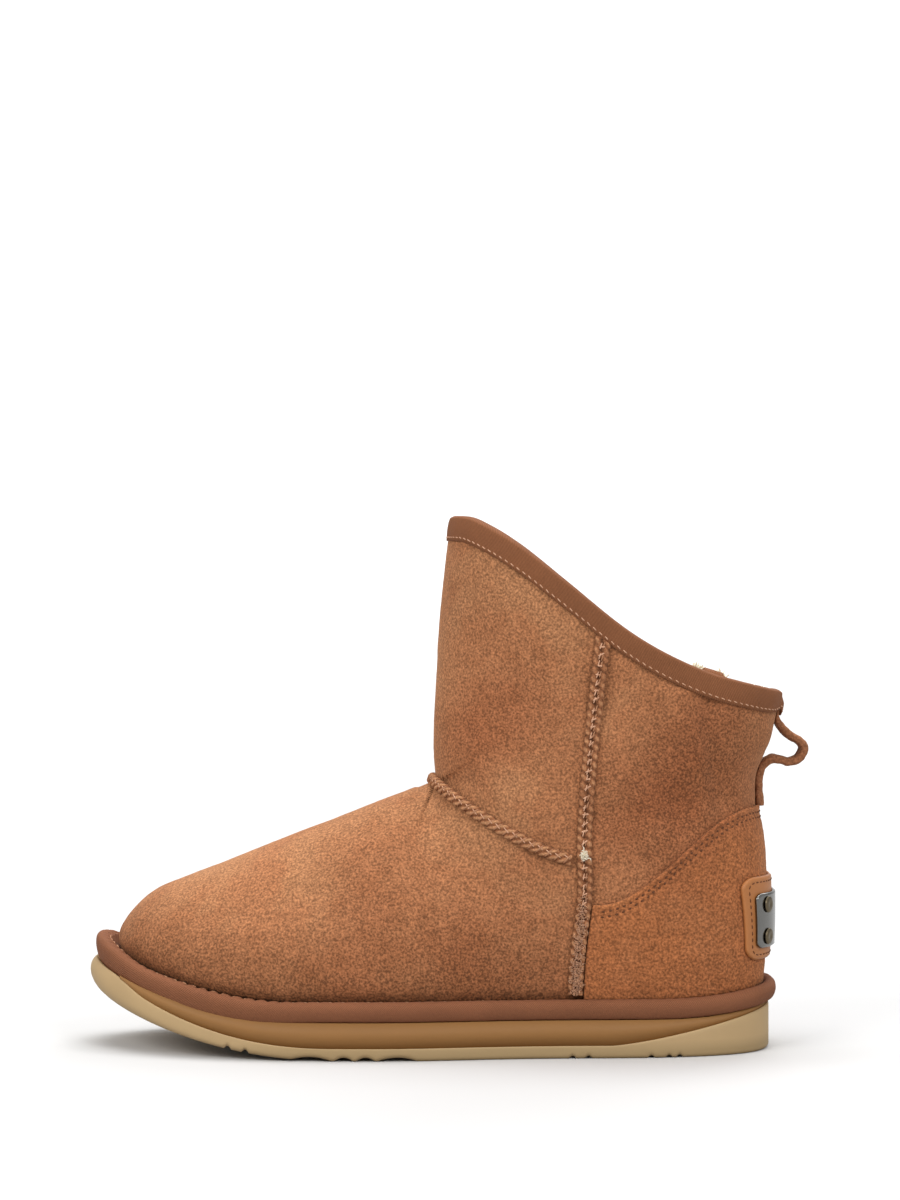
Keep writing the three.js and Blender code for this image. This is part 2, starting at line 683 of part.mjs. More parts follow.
// A raised bead along a line on the form: points, the way out of the form, and a rounded section.
const BEAD_SECTION = [
  { across: -1, up: 0 },
  { across: 0, up: 0 },
  { across: 1, up: 0 },
  { across: 0.8, up: 0.7 },
  { across: 0, up: 1 },
  { across: -0.8, up: 0.7 },
];
function beadGeometry(line, width, thickness) {
  const loops = line.map((place, i) => {
    const before = line[Math.max(0, i - 1)];
    const after = line[Math.min(line.length - 1, i + 1)];
    const run = after.on.clone().sub(before.on).normalize();
    const out = place.out.clone().addScaledVector(run, -place.out.dot(run)).normalize();
    const across = new THREE.Vector3().crossVectors(run, out);
    return BEAD_SECTION.map((row) =>
      place.on
        .clone()
        .addScaledVector(across, (row.across * width) / 2)
        .addScaledVector(out, OVERLAY_CLEARANCE + row.up * thickness),
    );
  });
  return joinLoops(loops, { caps: true, flip: true });
}
function sideSeamGeometry(side) {
  const rows = 16;
  const low = edgeHeight(seamX(SOLE_HEIGHT)) + SEAM_FOOT + WELT_STAND;
  const front = ringEnds(1);
  const share = (seamX(collarAtSeam) - front.frontX) / (front.backX - front.frontX);
  const rim = mix(COLLAR_FRONT_HEIGHT, COLLAR_BACK_HEIGHT, share) + COLLAR_DIP * collarRise(share);
  const high = rim - BINDING_WIDTH - 2.5 * CLEARANCE - SEAM_WIDTH / 3;
  const line = [];
  for (let i = 0; i <= rows; i += 1) {
    const z = mix(low, high, i / rows);
    const x = seamX(z);
    const on = sidePoint(x, z, side, 0);
    line.push({ on, out: sidePoint(x, z, side, 1).sub(on) });
  }
  return beadGeometry(line, SEAM_WIDTH, SEAM_THICKNESS);
}
// The seam over the instep, from one side seam to the other. In the crease the bead is lifted
// until its two edges clear the vamp and the shaft.
function vampSeamGeometry() {
  const steps = 30;
  const front = alongX(CREASE_AT);
  const back = seamX(INSTEP_HEIGHT - VAMP_SEAM_DROP) - SEAM_WIDTH / 2 - 3 * CLEARANCE;
  const seamZ = (x) => {
    const share = clamp((x - front) / (back - front), 0, 1);
    return INSTEP_HEIGHT - VAMP_SEAM_DROP * (1 - (1 - share) ** 1.35);
  };
  const findU = (t) => {
    let low = CREASE_U / 4;
    let high = CREASE_U + 0.25;
    for (let i = 0; i < 40; i += 1) {
      const u = (low + high) / 2;
      const p = formPoint(u, t);
      if (p.z < seamZ(p.x)) low = u;
      else high = u;
    }
    return high;
  };
  let last = 0.8 * Math.PI;
  while (formPoint(findU(last), last).x > back) last -= 0.01;
  const line = [];
  for (let i = 0; i <= steps; i += 1) {
    const t = last * (1 - (2 * i) / steps);
    const u = findU(t);
    const on = formPoint(u, t);
    const { out } = formFrame(u, t);
    const perU = formPoint(u + STEP, t).distanceTo(formPoint(u - STEP, t)) / (2 * STEP);
    const reach = VAMP_SEAM_WIDTH / 2 / perU;
    const above = formPoint(u + reach, t).sub(on).dot(out);
    const below = formPoint(u - reach, t).sub(on).dot(out);
    const bridge = smooth(1 - (on.x - front) / VAMP_SEAM_BRIDGE) * VAMP_SEAM_LIFT;
    line.push({ on: on.addScaledVector(out, Math.max(0, above, below) + bridge), out });
  }
  return beadGeometry(line, VAMP_SEAM_WIDTH, VAMP_SEAM_THICKNESS);
}

// A sheet with rounded corners on the back of the heel, seen from behind. Its columns are close
// together in the corners.
const CORNER_STEPS = [0, 0.08, 0.3, 0.62];
function heelSheet(size, distance) {
  const wide = size.width / 2;
  const corner = CORNER_STEPS.map((step) => -wide + step * size.corner);
  const flat = wide - size.corner;
  const middle = [-1, -0.8, -0.6, -0.4, -0.2, 0, 0.2, 0.4, 0.6, 0.8, 1].map((step) => step * flat);
  const columns = [...corner, ...middle, ...corner.map((y) => -y).reverse()];
  const place = (column, row, far) => {
    const y = columns[Math.round(column * (columns.length - 1))];
    const past = Math.max(0, Math.abs(y) - flat) / size.corner;
    const high = size.height / 2 - size.corner * (1 - Math.sqrt(Math.max(0, 1 - past * past)));
    return backPoint(y, size.middle + high * (2 * row - 1), far);
  };
  return sheetGeometry(columns.length - 1, 3, place, distance, distance + size.thickness);
}
const counterFace = OVERLAY_CLEARANCE + COUNTER_THICKNESS;
const patchBase = counterFace + OVERLAY_CLEARANCE;
const plateBase = patchBase + PATCH.thickness + CLEARANCE;
function rivetGeometry(y, z) {
  const profile = [];
  const radius = RIVET_DIAMETER / 2;
  profile.push(new THREE.Vector2(0, 0), new THREE.Vector2(radius, 0));
  for (let i = 0; i <= 3; i += 1) {
    const turn = (Math.PI / 2) * (i / 3);
    profile.push(new THREE.Vector2(i === 3 ? 0 : radius * Math.cos(turn), (0.35 + 0.65 * Math.sin(turn)) * RIVET_HEIGHT));
  }
  const made = new THREE.LatheGeometry(profile, 12);
  const far = plateBase + PLATE.thickness + CLEARANCE;
  const seat = backPoint(y, z, far);
  const out = backPoint(y, z, far + 1).sub(seat).normalize();
  made.applyQuaternion(new THREE.Quaternion().setFromUnitVectors(new THREE.Vector3(0, 1, 0), out));
  made.translate(seat.x, seat.y, seat.z);
  return geometryFrom(solidOf(made));
}

// The pull loop: a strap folded out from the back of the shaft, between binding and counter.
function loopGeometry() {
  const foot = COUNTER_BACK_HEIGHT + LOOP_FOOT_GAP;
  const rim = COLLAR_BACK_HEIGHT - BINDING_WIDTH - 2 * CLEARANCE;
  const flat = OVERLAY_CLEARANCE + LOOP_THICKNESS / 2;
  const at = (z, out) => new THREE.Vector3(shaftBack(z) + flat + out, 0, z);
  const points = [at(rim, 0)];
  for (const row of LOOP_FOLD) {
    points.push(at(mix(foot, rim, row.up), row.out * (LOOP_REACH - flat)));
  }
  points.push(at(mix(foot, rim, 0.18), 0), at(foot, 0));
  const middle = new THREE.CatmullRomCurve3(points).getSpacedPoints(34);
  const sideLine = (sign) =>
    middle.map((p, i) => {
      const run = middle[Math.min(34, i + 1)].clone().sub(middle[Math.max(0, i - 1)]).normalize();
      return new THREE.Vector2(p.x + (sign * run.z * LOOP_THICKNESS) / 2, p.z - (sign * run.x * LOOP_THICKNESS) / 2);
    });
  const outline = [...sideLine(1), ...sideLine(-1).reverse()];
  const depth = LOOP_WIDTH;
  const made = new THREE.ExtrudeGeometry(new THREE.Shape(outline), { depth, bevelEnabled: false });
  made.rotateX(Math.PI / 2);
  made.translate(0, depth / 2, 0);
  return geometryFrom(solidOf(made));
}

const suede = { color: 0xa9714a, roughness: 0.95, metalness: 0 };
const counterSuede = { color: 0xb07343, roughness: 0.95, metalness: 0 };
const tape = { color: 0x8f5c3d, roughness: 0.85, metalness: 0 };
const leather = { color: 0xb4733f, roughness: 0.6, metalness: 0 };
const steel = { color: 0xc9c9c9, roughness: 0.25, metalness: 1 };
const brass = { color: 0xa88a58, roughness: 0.35, metalness: 1 };
const fleece = { color: 0xe9dfc8, roughness: 1, metalness: 0 };
const soleFoam = { color: 0x9b7443, roughness: 0.85, metalness: 0 };
const soleRubber = { color: 0xb9a273, roughness: 0.8, metalness: 0 };

const boot = new THREE.Group();
function add(name, geometry, look) {
  const mesh = new THREE.Mesh(geometry, new THREE.MeshStandardMaterial(look));
  mesh.name = name;
  boot.add(mesh);
}
add("outsole", outsoleGeometry(), soleRubber);
add("midsole", midsoleGeometry(), soleFoam);
add("insole", insoleGeometry(), fleece);
add("welt", weltGeometry(), tape);
add("upper", upperGeometry(), suede);
add("collar_binding", bindingGeometry(), tape);
add("heel_counter", counterGeometry(), counterSuede);
add("side_seam_outer", sideSeamGeometry(-1), suede);
add("side_seam_inner", sideSeamGeometry(1), suede);
add("vamp_seam", vampSeamGeometry(), suede);
add("heel_patch", heelSheet(PATCH, patchBase), leather);
add("heel_plate", heelSheet(PLATE, plateBase), steel);
for (const [side, y] of [["outer", -1], ["inner", 1]]) {
  for (const [level, z] of [["upper", 1], ["lower", -1]]) {
    const acrossPlate = y * (PLATE.width / 2 - RIVET_INSET);
    const upPlate = PLATE.middle + z * (PLATE.height / 2 - RIVET_INSET);
    add(`rivet_${side}_${level}`, rivetGeometry(acrossPlate, upPlate), brass);
  }
}
add("pull_loop", loopGeometry(), suede);

// The boot stands on the floor, with its origin below the middle of its box.
const box = new THREE.Box3().setFromObject(boot);
const middle = box.getCenter(new THREE.Vector3());
boot.position.set(-middle.x, -middle.y, -box.min.z);

export default boot;
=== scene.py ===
# %% [markdown]
# # A short sheepskin boot
# The boot is one soft form, so this file works out that form once, as a function, and lays every
# piece on it: the suede, the wool, the tape, the seams and the sole. Lengths in the functions are
# millimetres, because a bootmaker thinks in them, and each mesh is turned into metres at the end.

import math

import bpy
import numpy as np
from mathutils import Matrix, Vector

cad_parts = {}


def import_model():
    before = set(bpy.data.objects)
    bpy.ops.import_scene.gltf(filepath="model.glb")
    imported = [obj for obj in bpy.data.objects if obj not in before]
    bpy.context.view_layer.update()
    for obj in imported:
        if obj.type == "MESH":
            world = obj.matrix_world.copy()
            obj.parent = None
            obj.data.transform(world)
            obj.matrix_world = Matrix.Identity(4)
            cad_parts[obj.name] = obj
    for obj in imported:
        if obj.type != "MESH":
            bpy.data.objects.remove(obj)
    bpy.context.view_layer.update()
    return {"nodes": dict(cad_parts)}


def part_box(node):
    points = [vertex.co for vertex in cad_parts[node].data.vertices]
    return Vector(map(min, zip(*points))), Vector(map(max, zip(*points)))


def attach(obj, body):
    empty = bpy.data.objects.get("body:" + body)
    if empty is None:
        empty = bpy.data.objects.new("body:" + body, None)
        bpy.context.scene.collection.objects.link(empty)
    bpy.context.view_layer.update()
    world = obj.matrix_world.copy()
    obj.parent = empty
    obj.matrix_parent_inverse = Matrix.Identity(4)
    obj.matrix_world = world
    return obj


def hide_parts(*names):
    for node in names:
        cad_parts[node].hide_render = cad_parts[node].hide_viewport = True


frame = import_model()
print("frame:", len(frame["nodes"]), "nodes")

# %% [markdown]
# ## The sizes
# These are the boot's own sizes. The last is measured from its lower edge, and the toe points
# towards -X. Places along the foot are shares of its length, so that they move with it.

# %% Sizes of the last and the sole
LENGTH, BALL_WIDTH, HEEL_WIDTH, SHAFT_WIDTH = 253.8, 87.0, 73.0, 88.0
TOE_HEIGHT, INSTEP_HEIGHT = 54.0, 104.2
COLLAR_FRONT_HEIGHT, COLLAR_BACK_HEIGHT, COLLAR_DIP = 206.8, 138.2, 10.0
SHAFT_LEAN, HEEL_CURVE, TOE_SWING, ANKLE_BLEND = 6.8, 6.0, 11.0, 30.0
SOLE_HEIGHT, TOE_RISE, HEEL_RISE = 21.4, 16.0, 3.5
TOE_SPRING, ARCH_HEIGHT = 23.2, 2.4
WELT_HEIGHT, WELT_STAND, FLANGE = 7.8, 1.0, 4.5
OUTSOLE_HEIGHT, OUTSOLE_WRAP_TOE, OUTSOLE_WRAP_HEEL = 4.9, 24.0, 12.0
OVERLAY, COUNTER_THICKNESS = 0.45, 1.3
CREASE_AT, NOSE_LENGTH, SPRING_START = 0.4965, 0.08, 0.284
UNDERSIDE_START, WRAP_START, HEEL_WRAP_START, HEEL_RISE_START = 0.355, 0.343, 0.764, 0.85
ANKLE_FOOT_AT, SIDE_SEAM_FOOT_AT, SIDE_SEAM_TOP_AT = 0.75, 0.709, 0.757
REACH_WELT = (8.8, 6.6, 6.7)
REACH_SOLE = (11.0, 6.2, 3.8)
CREASE_U = 13 / 24

low_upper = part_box("upper")[0]
loop_low, loop_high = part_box("pull_loop")
SHIFT = np.array([low_upper.x * 1000 + LENGTH / 2, (loop_low.y + loop_high.y) * 500, 0.0])
print("the form's own origin lies at", SHIFT.round(2), "mm in the frame")

# %% Curves through the rows of a table
def curve_of(keys, values):
    """A smooth curve: a cubic between each two rows, whose slope at a row is that of the line
    between its neighbours. It is level beyond its ends."""
    keys, values = np.array(keys, float), np.array(values, float)
    before = np.maximum(np.arange(len(keys)) - 1, 0)
    after = np.minimum(np.arange(len(keys)) + 1, len(keys) - 1)
    slopes = (values[after] - values[before]) / (keys[after] - keys[before])

    def curve(at):
        at = np.clip(at, keys[0], keys[-1])
        i = np.clip(np.searchsorted(keys, at) - 1, 0, len(keys) - 2)
        span = keys[i + 1] - keys[i]
        s = (at - keys[i]) / span
        eased = s * s * (3 - 2 * s)
        start = s * (1 - s) ** 2 * span * slopes[i]
        end = s * s * (s - 1) * span * slopes[i + 1]
        return values[i] * (1 - eased) + values[i + 1] * eased + start + end

    return curve


foot_along = [0, 0.15, 0.3, 0.42, 0.5, 0.6, 0.7, 0.9]
foot_outer = curve_of(foot_along, [0.49, 0.515, 0.532, 0.522, 0.495, 0.45, 0.425, 0.41])
foot_inner = curve_of(foot_along, [0.43, 0.44, 0.468, 0.445, 0.4, 0.365, 0.375, 0.4])
back_out = curve_of(
    [0.15, 0.36, 0.57, 0.69, 0.77, 0.83, 0.87, 0.92, 1],
    [-0.05, 0.2, 0.1, -0.3, -0.3, 0.2, 0.6, 0.9, 1.3],
)
collar_rise = curve_of(
    [0, 0.06, 0.19, 0.33, 0.5, 0.62, 0.76, 0.9, 1],
    [0, 0.28, 0.2, -0.25, -0.85, -1, -0.85, -0.4, 0],
)


def smooth(v):
    """Eases from 0 to 1: 3v² - 2v³."""
    v = np.clip(v, 0, 1)
    return v * v * (3 - 2 * v)


def mix(a, b, share):
    return a + (b - a) * share


def unit(v):
    return v / np.maximum(np.linalg.norm(v, axis=-1, keepdims=True), 1e-12)


def along_x(share):
    return (share - 0.5) * LENGTH


def share_of(x):
    return x / LENGTH + 0.5


def turns_of(count):
    return np.arange(count) * 2 * np.pi / count


def halve(low, high, before):
    """The place between low and high where `before` stops being true, by forty halvings."""
    for _ in range(40):
        middle = (low + high) / 2
        yet = before(middle)
        low, high = np.where(yet, middle, low), np.where(yet, high, middle)
    return high


# %% [markdown]
# ## The form
# A real boot is pulled over a last. Here the last is two simple bodies: the foot, in arched
# sections along its length, and the shaft, a tube of level ovals. They pass into each other across
# a band that runs from the crease of the instep down to the heel. Sculpting would give a livelier
# surface, but a function can be asked for its height and its direction anywhere, which is what
# seams, tape and stitches need.

# %% Heights along the bottom
def edge_height(x):
    """The upper's lower edge: level, and lifted at the toe by the 1.9th power and at the heel by
    the square of the way past the place where each lift starts."""
    share = share_of(x)
    toe = np.maximum(0, (SPRING_START - share) / SPRING_START)
    heel = np.maximum(0, (share - HEEL_RISE_START) / (1 - HEEL_RISE_START))
    return SOLE_HEIGHT + TOE_RISE * toe**1.9 + HEEL_RISE * heel**2


def layer_top(x):
    return edge_height(x) + WELT_STAND - WELT_HEIGHT - OVERLAY


def underside(x, y):
    """The sole's underside: toe spring by the 2.1th power, and a shallow arch on the inner side."""
    share = share_of(x)
    spring = np.maximum(0, (UNDERSIDE_START - share) / (UNDERSIDE_START + REACH_SOLE[0] / LENGTH))
    waist = np.sin(np.pi * np.clip((share - 0.52) / 0.26, 0, 1)) ** 2
    return TOE_SPRING * spring**2.1 + ARCH_HEIGHT * waist * smooth((y + 31.3) / 52.2)


def wrap_height(x):
    """The outsole's upper line, which climbs at the toe and at the heel."""
    share = share_of(x)
    toe = np.maximum(0, (WRAP_START - share) / WRAP_START)
    heel = np.maximum(0, (share - HEEL_WRAP_START) / (1 - HEEL_WRAP_START))
    return OUTSOLE_HEIGHT + OUTSOLE_WRAP_TOE * toe**2.2 + OUTSOLE_WRAP_HEEL * heel**1.3


# %% The last and the shaft
def ridge_height(x):
    """The top line of the vamp: a straight rise to the crease behind a rounded nose."""
    share = share_of(x)
    line = TOE_HEIGHT + (INSTEP_HEIGHT - TOE_HEIGHT) * share / CREASE_AT
    nose = (1 - (1 - np.clip(share / NOSE_LENGTH, 0, 1)) ** 2.3) ** (1 / 2.3)
    climb = np.maximum(0, share - CREASE_AT) ** 2 * INSTEP_HEIGHT * 14
    return mix(edge_height(np.maximum(x, along_x(0))), line, nose) + climb


def shaft_front(z):
    above = (z - INSTEP_HEIGHT) / (COLLAR_FRONT_HEIGHT - INSTEP_HEIGHT)
    below = 0.42 * (z - INSTEP_HEIGHT)
    return along_x(CREASE_AT) + np.where(above > 0, SHAFT_LEAN * above**2, below)


def shaft_back(z):
    return along_x(1) + HEEL_CURVE * back_out(z / COLLAR_BACK_HEIGHT)


def foot_half(x, z, side):
    """Half the width of the foot: the width there, rounded off towards the toe, times the root of
    one less a power of the height. It is nothing above the ridge."""
    share = share_of(x)
    low = edge_height(x)
    h = (z - low) / (ridge_height(x) - low)
    wide = BALL_WIDTH * np.where(side < 0, foot_outer(share), foot_inner(share))
    toe = (1 - (1 - np.clip(share / 0.3, 0, 1)) ** 2.4) ** (1 / 2.4)
    up = np.clip(h, 0, 1)
    power = mix(2.5, 1.9, smooth((share - 0.1) / 0.4))
    bulge = 1 + 0.035 * np.sin(np.pi * np.clip(up / 0.6, 0, 1))
    half = wide * toe * bulge * np.sqrt(np.maximum(0, 1 - up**power))
    return np.where((h >= 1) | (share <= 0), 0, half)


def shaft_half(x, z):
    """Half the width of the shaft: a full oval between its front and its back."""
    front = shaft_front(z)
    across = np.clip(np.abs(2 * (x - front) / (shaft_back(z) - front) - 1), 0, 1)
    up = smooth((z - SOLE_HEIGHT) / COLLAR_BACK_HEIGHT)
    rise = np.clip((z - SOLE_HEIGHT) / (0.5 * COLLAR_BACK_HEIGHT), 0, 1)
    half = mix(HEEL_WIDTH, SHAFT_WIDTH, up) / 2 * (1 + 0.05 * np.sin(np.pi * rise))
    power = mix(2.8, 2.2, up)
    return half * (1 - across**power) ** (1 / power)


ANKLE_TOP = np.array([along_x(CREASE_AT), INSTEP_HEIGHT])
ANKLE_RUN = np.array([along_x(ANKLE_FOOT_AT), SOLE_HEIGHT]) - ANKLE_TOP
ANKLE_RUN = ANKLE_RUN / np.hypot(*ANKLE_RUN)


def form_y(x, z, side):
    """The whole form's width at a place of the side view. Each body counts by its share times its
    own width, so the wider one leads, and no dent is left where the other one ends."""
    across = -ANKLE_RUN[1] * (x - ANKLE_TOP[0]) + ANKLE_RUN[0] * (z - ANKLE_TOP[1])
    shaft = smooth(0.5 + across / (2 * ANKLE_BLEND))
    foot, tube = foot_half(x, z, side), shaft_half(x, z)
    weight = (1 - shaft) * foot + shaft * tube
    half = ((1 - shaft) * foot**2 + shaft * tube**2) / np.maximum(weight, 1e-9)
    swing = TOE_SWING * np.maximum(0, 1 - share_of(x) / 0.45) ** 1.5 * (1 - shaft)
    return swing + side * half


# %% The form in rings
def ring_ends(u):
    """Where ring u, from the lower edge (0) to the collar (1), meets the front and the back."""
    run = np.minimum(1, u / CREASE_U)
    vamp = along_x(CREASE_AT * (1 - (1 - run**2) ** 1.3))
    shaft = np.maximum(0, (u - CREASE_U) / (1 - CREASE_U))
    front_z = np.where(shaft > 0, mix(INSTEP_HEIGHT, COLLAR_FRONT_HEIGHT, shaft), ridge_height(vamp))
    back_z = mix(edge_height(along_x(1)), COLLAR_BACK_HEIGHT, 0.82 * u + 0.18 * u * u)
    front_x = np.where(shaft > 0, shaft_front(front_z), vamp)
    return front_x, front_z, shaft_back(back_z), back_z


def form_point(u, t):
    """A point of the form: ring u, and turn t from the front round the outer side. The place in
    the side view goes from front to back by (1 - cos t) / 2, and the form gives the width."""
    u, t = np.broadcast_arrays(np.asarray(u, float), np.asarray(t, float))
    front_x, front_z, back_x, back_z = ring_ends(u)
    turn = np.mod(t, 2 * np.pi)
    s = (1 - np.cos(turn)) / 2
    x = mix(front_x, back_x, s)
    follow = np.maximum(0, 1 - u / 0.5) ** 1.5
    straight = mix(edge_height(front_x), edge_height(back_x), s)
    collar = smooth((u - 0.6) / 0.4) * COLLAR_DIP * collar_rise(s)
    z = mix(front_z, back_z, s) + follow * (edge_height(x) - straight) + collar
    side = np.where(turn <= np.pi, -1.0, 1.0)
    ends = (s < 1e-9) | (s > 1 - 1e-9)
    y = np.where(ends, (form_y(x, z, -1.0) + form_y(x, z, 1.0)) / 2, form_y(x, z, side))
    return np.stack([x, y, z], -1)


STEP = 1e-3


def form_frame(u, t):
    """The directions up the form and out of it, from small steps along u and t."""
    u = np.asarray(u, float)
    up = form_point(np.minimum(1, u + STEP), t) - form_point(np.maximum(0, u - STEP), t)
    around = form_point(u, t + STEP) - form_point(u, t - STEP)
    return unit(up), unit(np.cross(around, up))


def soften(out, times):
    """Evens out the directions of a grid: each becomes the mean of itself and its neighbours."""
    for _ in range(times):
        above, below = np.concatenate([out[:1], out[:-1]]), np.concatenate([out[1:], out[-1:]])
        out = unit(out + above + below + np.roll(out, 1, axis=1) + np.roll(out, -1, axis=1))
    return out


def offset_point(u, t, distance, soft=0):
    """A point at a distance outside the form. At the lower edge the offset is level. On a whole
    grid, `soft` evens out the directions in the sharp crease of the instep."""
    p = form_point(u, t)
    out = soften(form_frame(u, t)[1], soft)
    free = np.minimum(1, np.broadcast_to(u, p.shape[:-1]) / 0.08)
    out = unit(out * np.stack([np.ones_like(free), np.ones_like(free), free], -1))
    q = p + out * np.asarray(distance)[..., None]
    q[..., 2] += (1 - free) * (edge_height(q[..., 0]) - edge_height(p[..., 0]))
    return q


def side_frame(x, z, side):
    """A point on one side by its place in the side view, and the direction out of the form."""
    dx = (form_y(x + 0.05, z, side) - form_y(x - 0.05, z, side)) / 0.1
    dz = (form_y(x, z + 0.05, side) - form_y(x, z - 0.05, side)) / 0.1
    out = unit(np.stack([-side * dx, side + 0 * dx, -side * dz], -1))
    return np.stack([x + 0 * dx, form_y(x, z, side), z + 0 * dx], -1), out


def back_x(y, z):
    """The heel's surface from behind: the place where the form is as wide as y."""
    side, back = np.where(y < 0, -1.0, 1.0), shaft_back(z) + 0 * y
    return halve(back, back - 0.3 * LENGTH, lambda x: np.abs(form_y(x, z, side)) < np.abs(y))


def back_frame(y, z):
    dy = (back_x(y + 0.2, z) - back_x(y - 0.2, z)) / 0.4
    dz = (back_x(y, z + 0.2) - back_x(y, z - 0.2)) / 0.4
    out = unit(np.stack([1 + 0 * dy, -dy, -dz], -1))
    return np.stack([back_x(y, z), y + 0 * z, z + 0 * y], -1), out


print("collar front at", form_point(1.0, 0.0).round(1), "heel at", form_point(0.0, np.pi).round(1))

# %% [markdown]
# ## Noise
# Hide and wool are never even. A lattice noise gives each whole-numbered place a fixed number and
# eases between them. Blender's textures could push the mesh too, but a function gives the same
# wobble to two pieces that lie on each other, so that they keep their distance.

# %% Lattice noise
def noise(points, size, seed=0):
    """Between -1 and 1: the numbers at the eight lattice corners around each point, mixed by the
    eased share of the way between them. The lattice is `size` millimetres wide."""
    p = points / size + 100.5
    corner = np.floor(p).astype(np.int64)
    w = p - corner
    w = w * w * (3 - 2 * w)
    total = np.zeros(p.shape[:-1])
    for dx, dy, dz in np.ndindex(2, 2, 2):
        n = (corner[..., 0] + dx) * 374761393 + (corner[..., 1] + dy) * 668265263
        n = (n + (corner[..., 2] + dz) * 2147483647 + seed * 974634777) & 0xFFFFFFFF
        n = ((n ^ (n >> 13)) * 1274126177) & 0xFFFFFFFF
        value = ((n ^ (n >> 16)) & 0xFFFF) / 32767.5 - 1
        share = [w[..., k] if d else 1 - w[..., k] for k, d in enumerate((dx, dy, dz))]
        total += value * share[0] * share[1] * share[2]
    return total


def puff(points, size, seed=0):
    """Rounded lumps with sharp valleys between them: one less the size of the noise."""
    return 1 - 2 * np.abs(noise(points, size, seed))


print("noise at the toe:", noise(form_point(0.3, 0.4), 8.0).round(3))

# %% [markdown]
# ## The seams' lines
# Two side seams join the vamp to the back of the boot, and a third runs over the instep. The
# pieces of suede dip towards them, so the lines come before the suede.

# %% Side seam and counter lines
SEAM_WIDTH, SEAM_THICKNESS, BINDING_WIDTH, TAPE_THICKNESS = 6.0, 1.9, 8.4, 1.1
SEAM_BOW, BOW_HEIGHT, BOW_REACH = 1.8, 62.0, 17.0
COUNTER_FRONT_HEIGHT, COUNTER_BACK_HEIGHT, VAMP_SEAM_DROP = 58.5, 94.5, 28.5
LOW_U, HIGH_U = 0.004, CREASE_U + 0.3
collar_at_seam = mix(COLLAR_FRONT_HEIGHT, COLLAR_BACK_HEIGHT, 0.5)


def seam_x(z):
    up = np.clip((z - SOLE_HEIGHT) / (collar_at_seam - SOLE_HEIGHT), 0, 1)
    bow = SEAM_BOW * np.exp(-(((z - BOW_HEIGHT) / BOW_REACH) ** 2))
    return along_x(mix(SIDE_SEAM_FOOT_AT, SIDE_SEAM_TOP_AT, mix(up, up**2.5, 0.5))) + bow


def counter_top(x):
    climb = smooth((x - along_x(0.745)) / (0.24 * LENGTH))
    return mix(COUNTER_FRONT_HEIGHT, COUNTER_BACK_HEIGHT, climb)


VAMP_FRONT = along_x(CREASE_AT)
VAMP_BACK = seam_x(INSTEP_HEIGHT - VAMP_SEAM_DROP) - SEAM_WIDTH / 2 - 0.9


def vamp_seam_z(x):
    share = np.clip((x - VAMP_FRONT) / (VAMP_BACK - VAMP_FRONT), 0, 1)
    return INSTEP_HEIGHT - VAMP_SEAM_DROP * (1 - (1 - share) ** 1.35)


def find_u(t, above):
    """The ring on which turn t meets a line of the side view."""

    def under(u):
        p = form_point(u, t)
        return p[..., 2] < above(p[..., 0])

    return halve(LOW_U, HIGH_U, under)


print("side seams from x", seam_x(30.0).round(1), "to", seam_x(150.0).round(1))

# %% [markdown]
# ## Soft relief
# Sheepskin is thick and stands a little full between its seams. The few long hollows of the
# photograph are placed as ridges (+) and troughs (-) along short lines of the side view.
# A cloth simulation would put them anywhere, so a written table is the better tool here.

# %% Hollows and ridges
# Each row: from x, z to x, z in the form's millimetres, half width, height, side (0 for both).
FOLDS = [
    (104, 136, 112, 78, 4.5, -1.5, 0),
    (94, 138, 104, 92, 5.0, 1.1, 0),
    (60, 142, 96, 96, 10.0, -1.3, -1),
    (66, 118, 92, 74, 9.0, 1.0, -1),
    (12, 172, 36, 112, 12.0, -1.4, -1),
    (4, 128, 30, 92, 9.0, 0.8, -1),
    (8, 150, 10, 108, 6.0, -0.7, 0),
    (-8, 92, 34, 62, 8.0, -0.9, 0),
    (-30, 74, 20, 46, 11.0, 0.8, -1),
    (-52, 66, -24, 42, 10.0, -0.7, -1),
    (-84, 44, -40, 34, 9.0, 0.5, 0),
    (-40, 60, 10, 74, 9.0, -0.6, 1),
    (20, 150, 60, 110, 12.0, -0.9, 1),
]


def relief(points, side):
    """How far the suede stands off the form: full by up to a millimetre away from the seams, the
    folds of the table as bell curves across each line, and a slow wobble of the hide."""
    x, z = points[..., 0], points[..., 2]
    to_side = np.abs(x - seam_x(z))
    slope = 1 / np.hypot(1, (vamp_seam_z(x + 0.5) - vamp_seam_z(x - 0.5)))
    in_vamp = smooth((VAMP_BACK + 8 - x) / 8) * smooth((x - VAMP_FRONT + 14) / 8)
    to_vamp = np.abs(z - vamp_seam_z(x)) * slope + 60 * (1 - in_vamp)
    full = (1 - np.exp(-((to_side / 8) ** 2))) * (1 - np.exp(-((to_vamp / 8) ** 2)))
    rise = 0.9 * full - 0.25
    for x0, z0, x1, z1, wide, high, only in FOLDS:
        dx, dz = x1 - x0, z1 - z0
        share = np.clip(((x - x0) * dx + (z - z0) * dz) / (dx * dx + dz * dz), 0, 1)
        away = np.hypot(x - x0 - share * dx, z - z0 - share * dz)
        fade = 1 if only == 0 else np.clip(side * only, 0, 1)
        rise = rise + high * np.exp(-((away / wide) ** 2)) * fade
    rise = rise + 0.45 * noise(points, 26.0, 3) + 0.16 * noise(points, 9.0, 4)
    heel = smooth((x - along_x(0.8)) / 24) * smooth((counter_top(x) + 6 - z) / 12)
    tuck = 1.1 * np.exp(-(((z - edge_height(x) - 0.6) / 2.0) ** 2)) * (1 - heel)
    return rise * (1 - 0.85 * heel) * smooth((z - edge_height(x)) / 9) - tuck


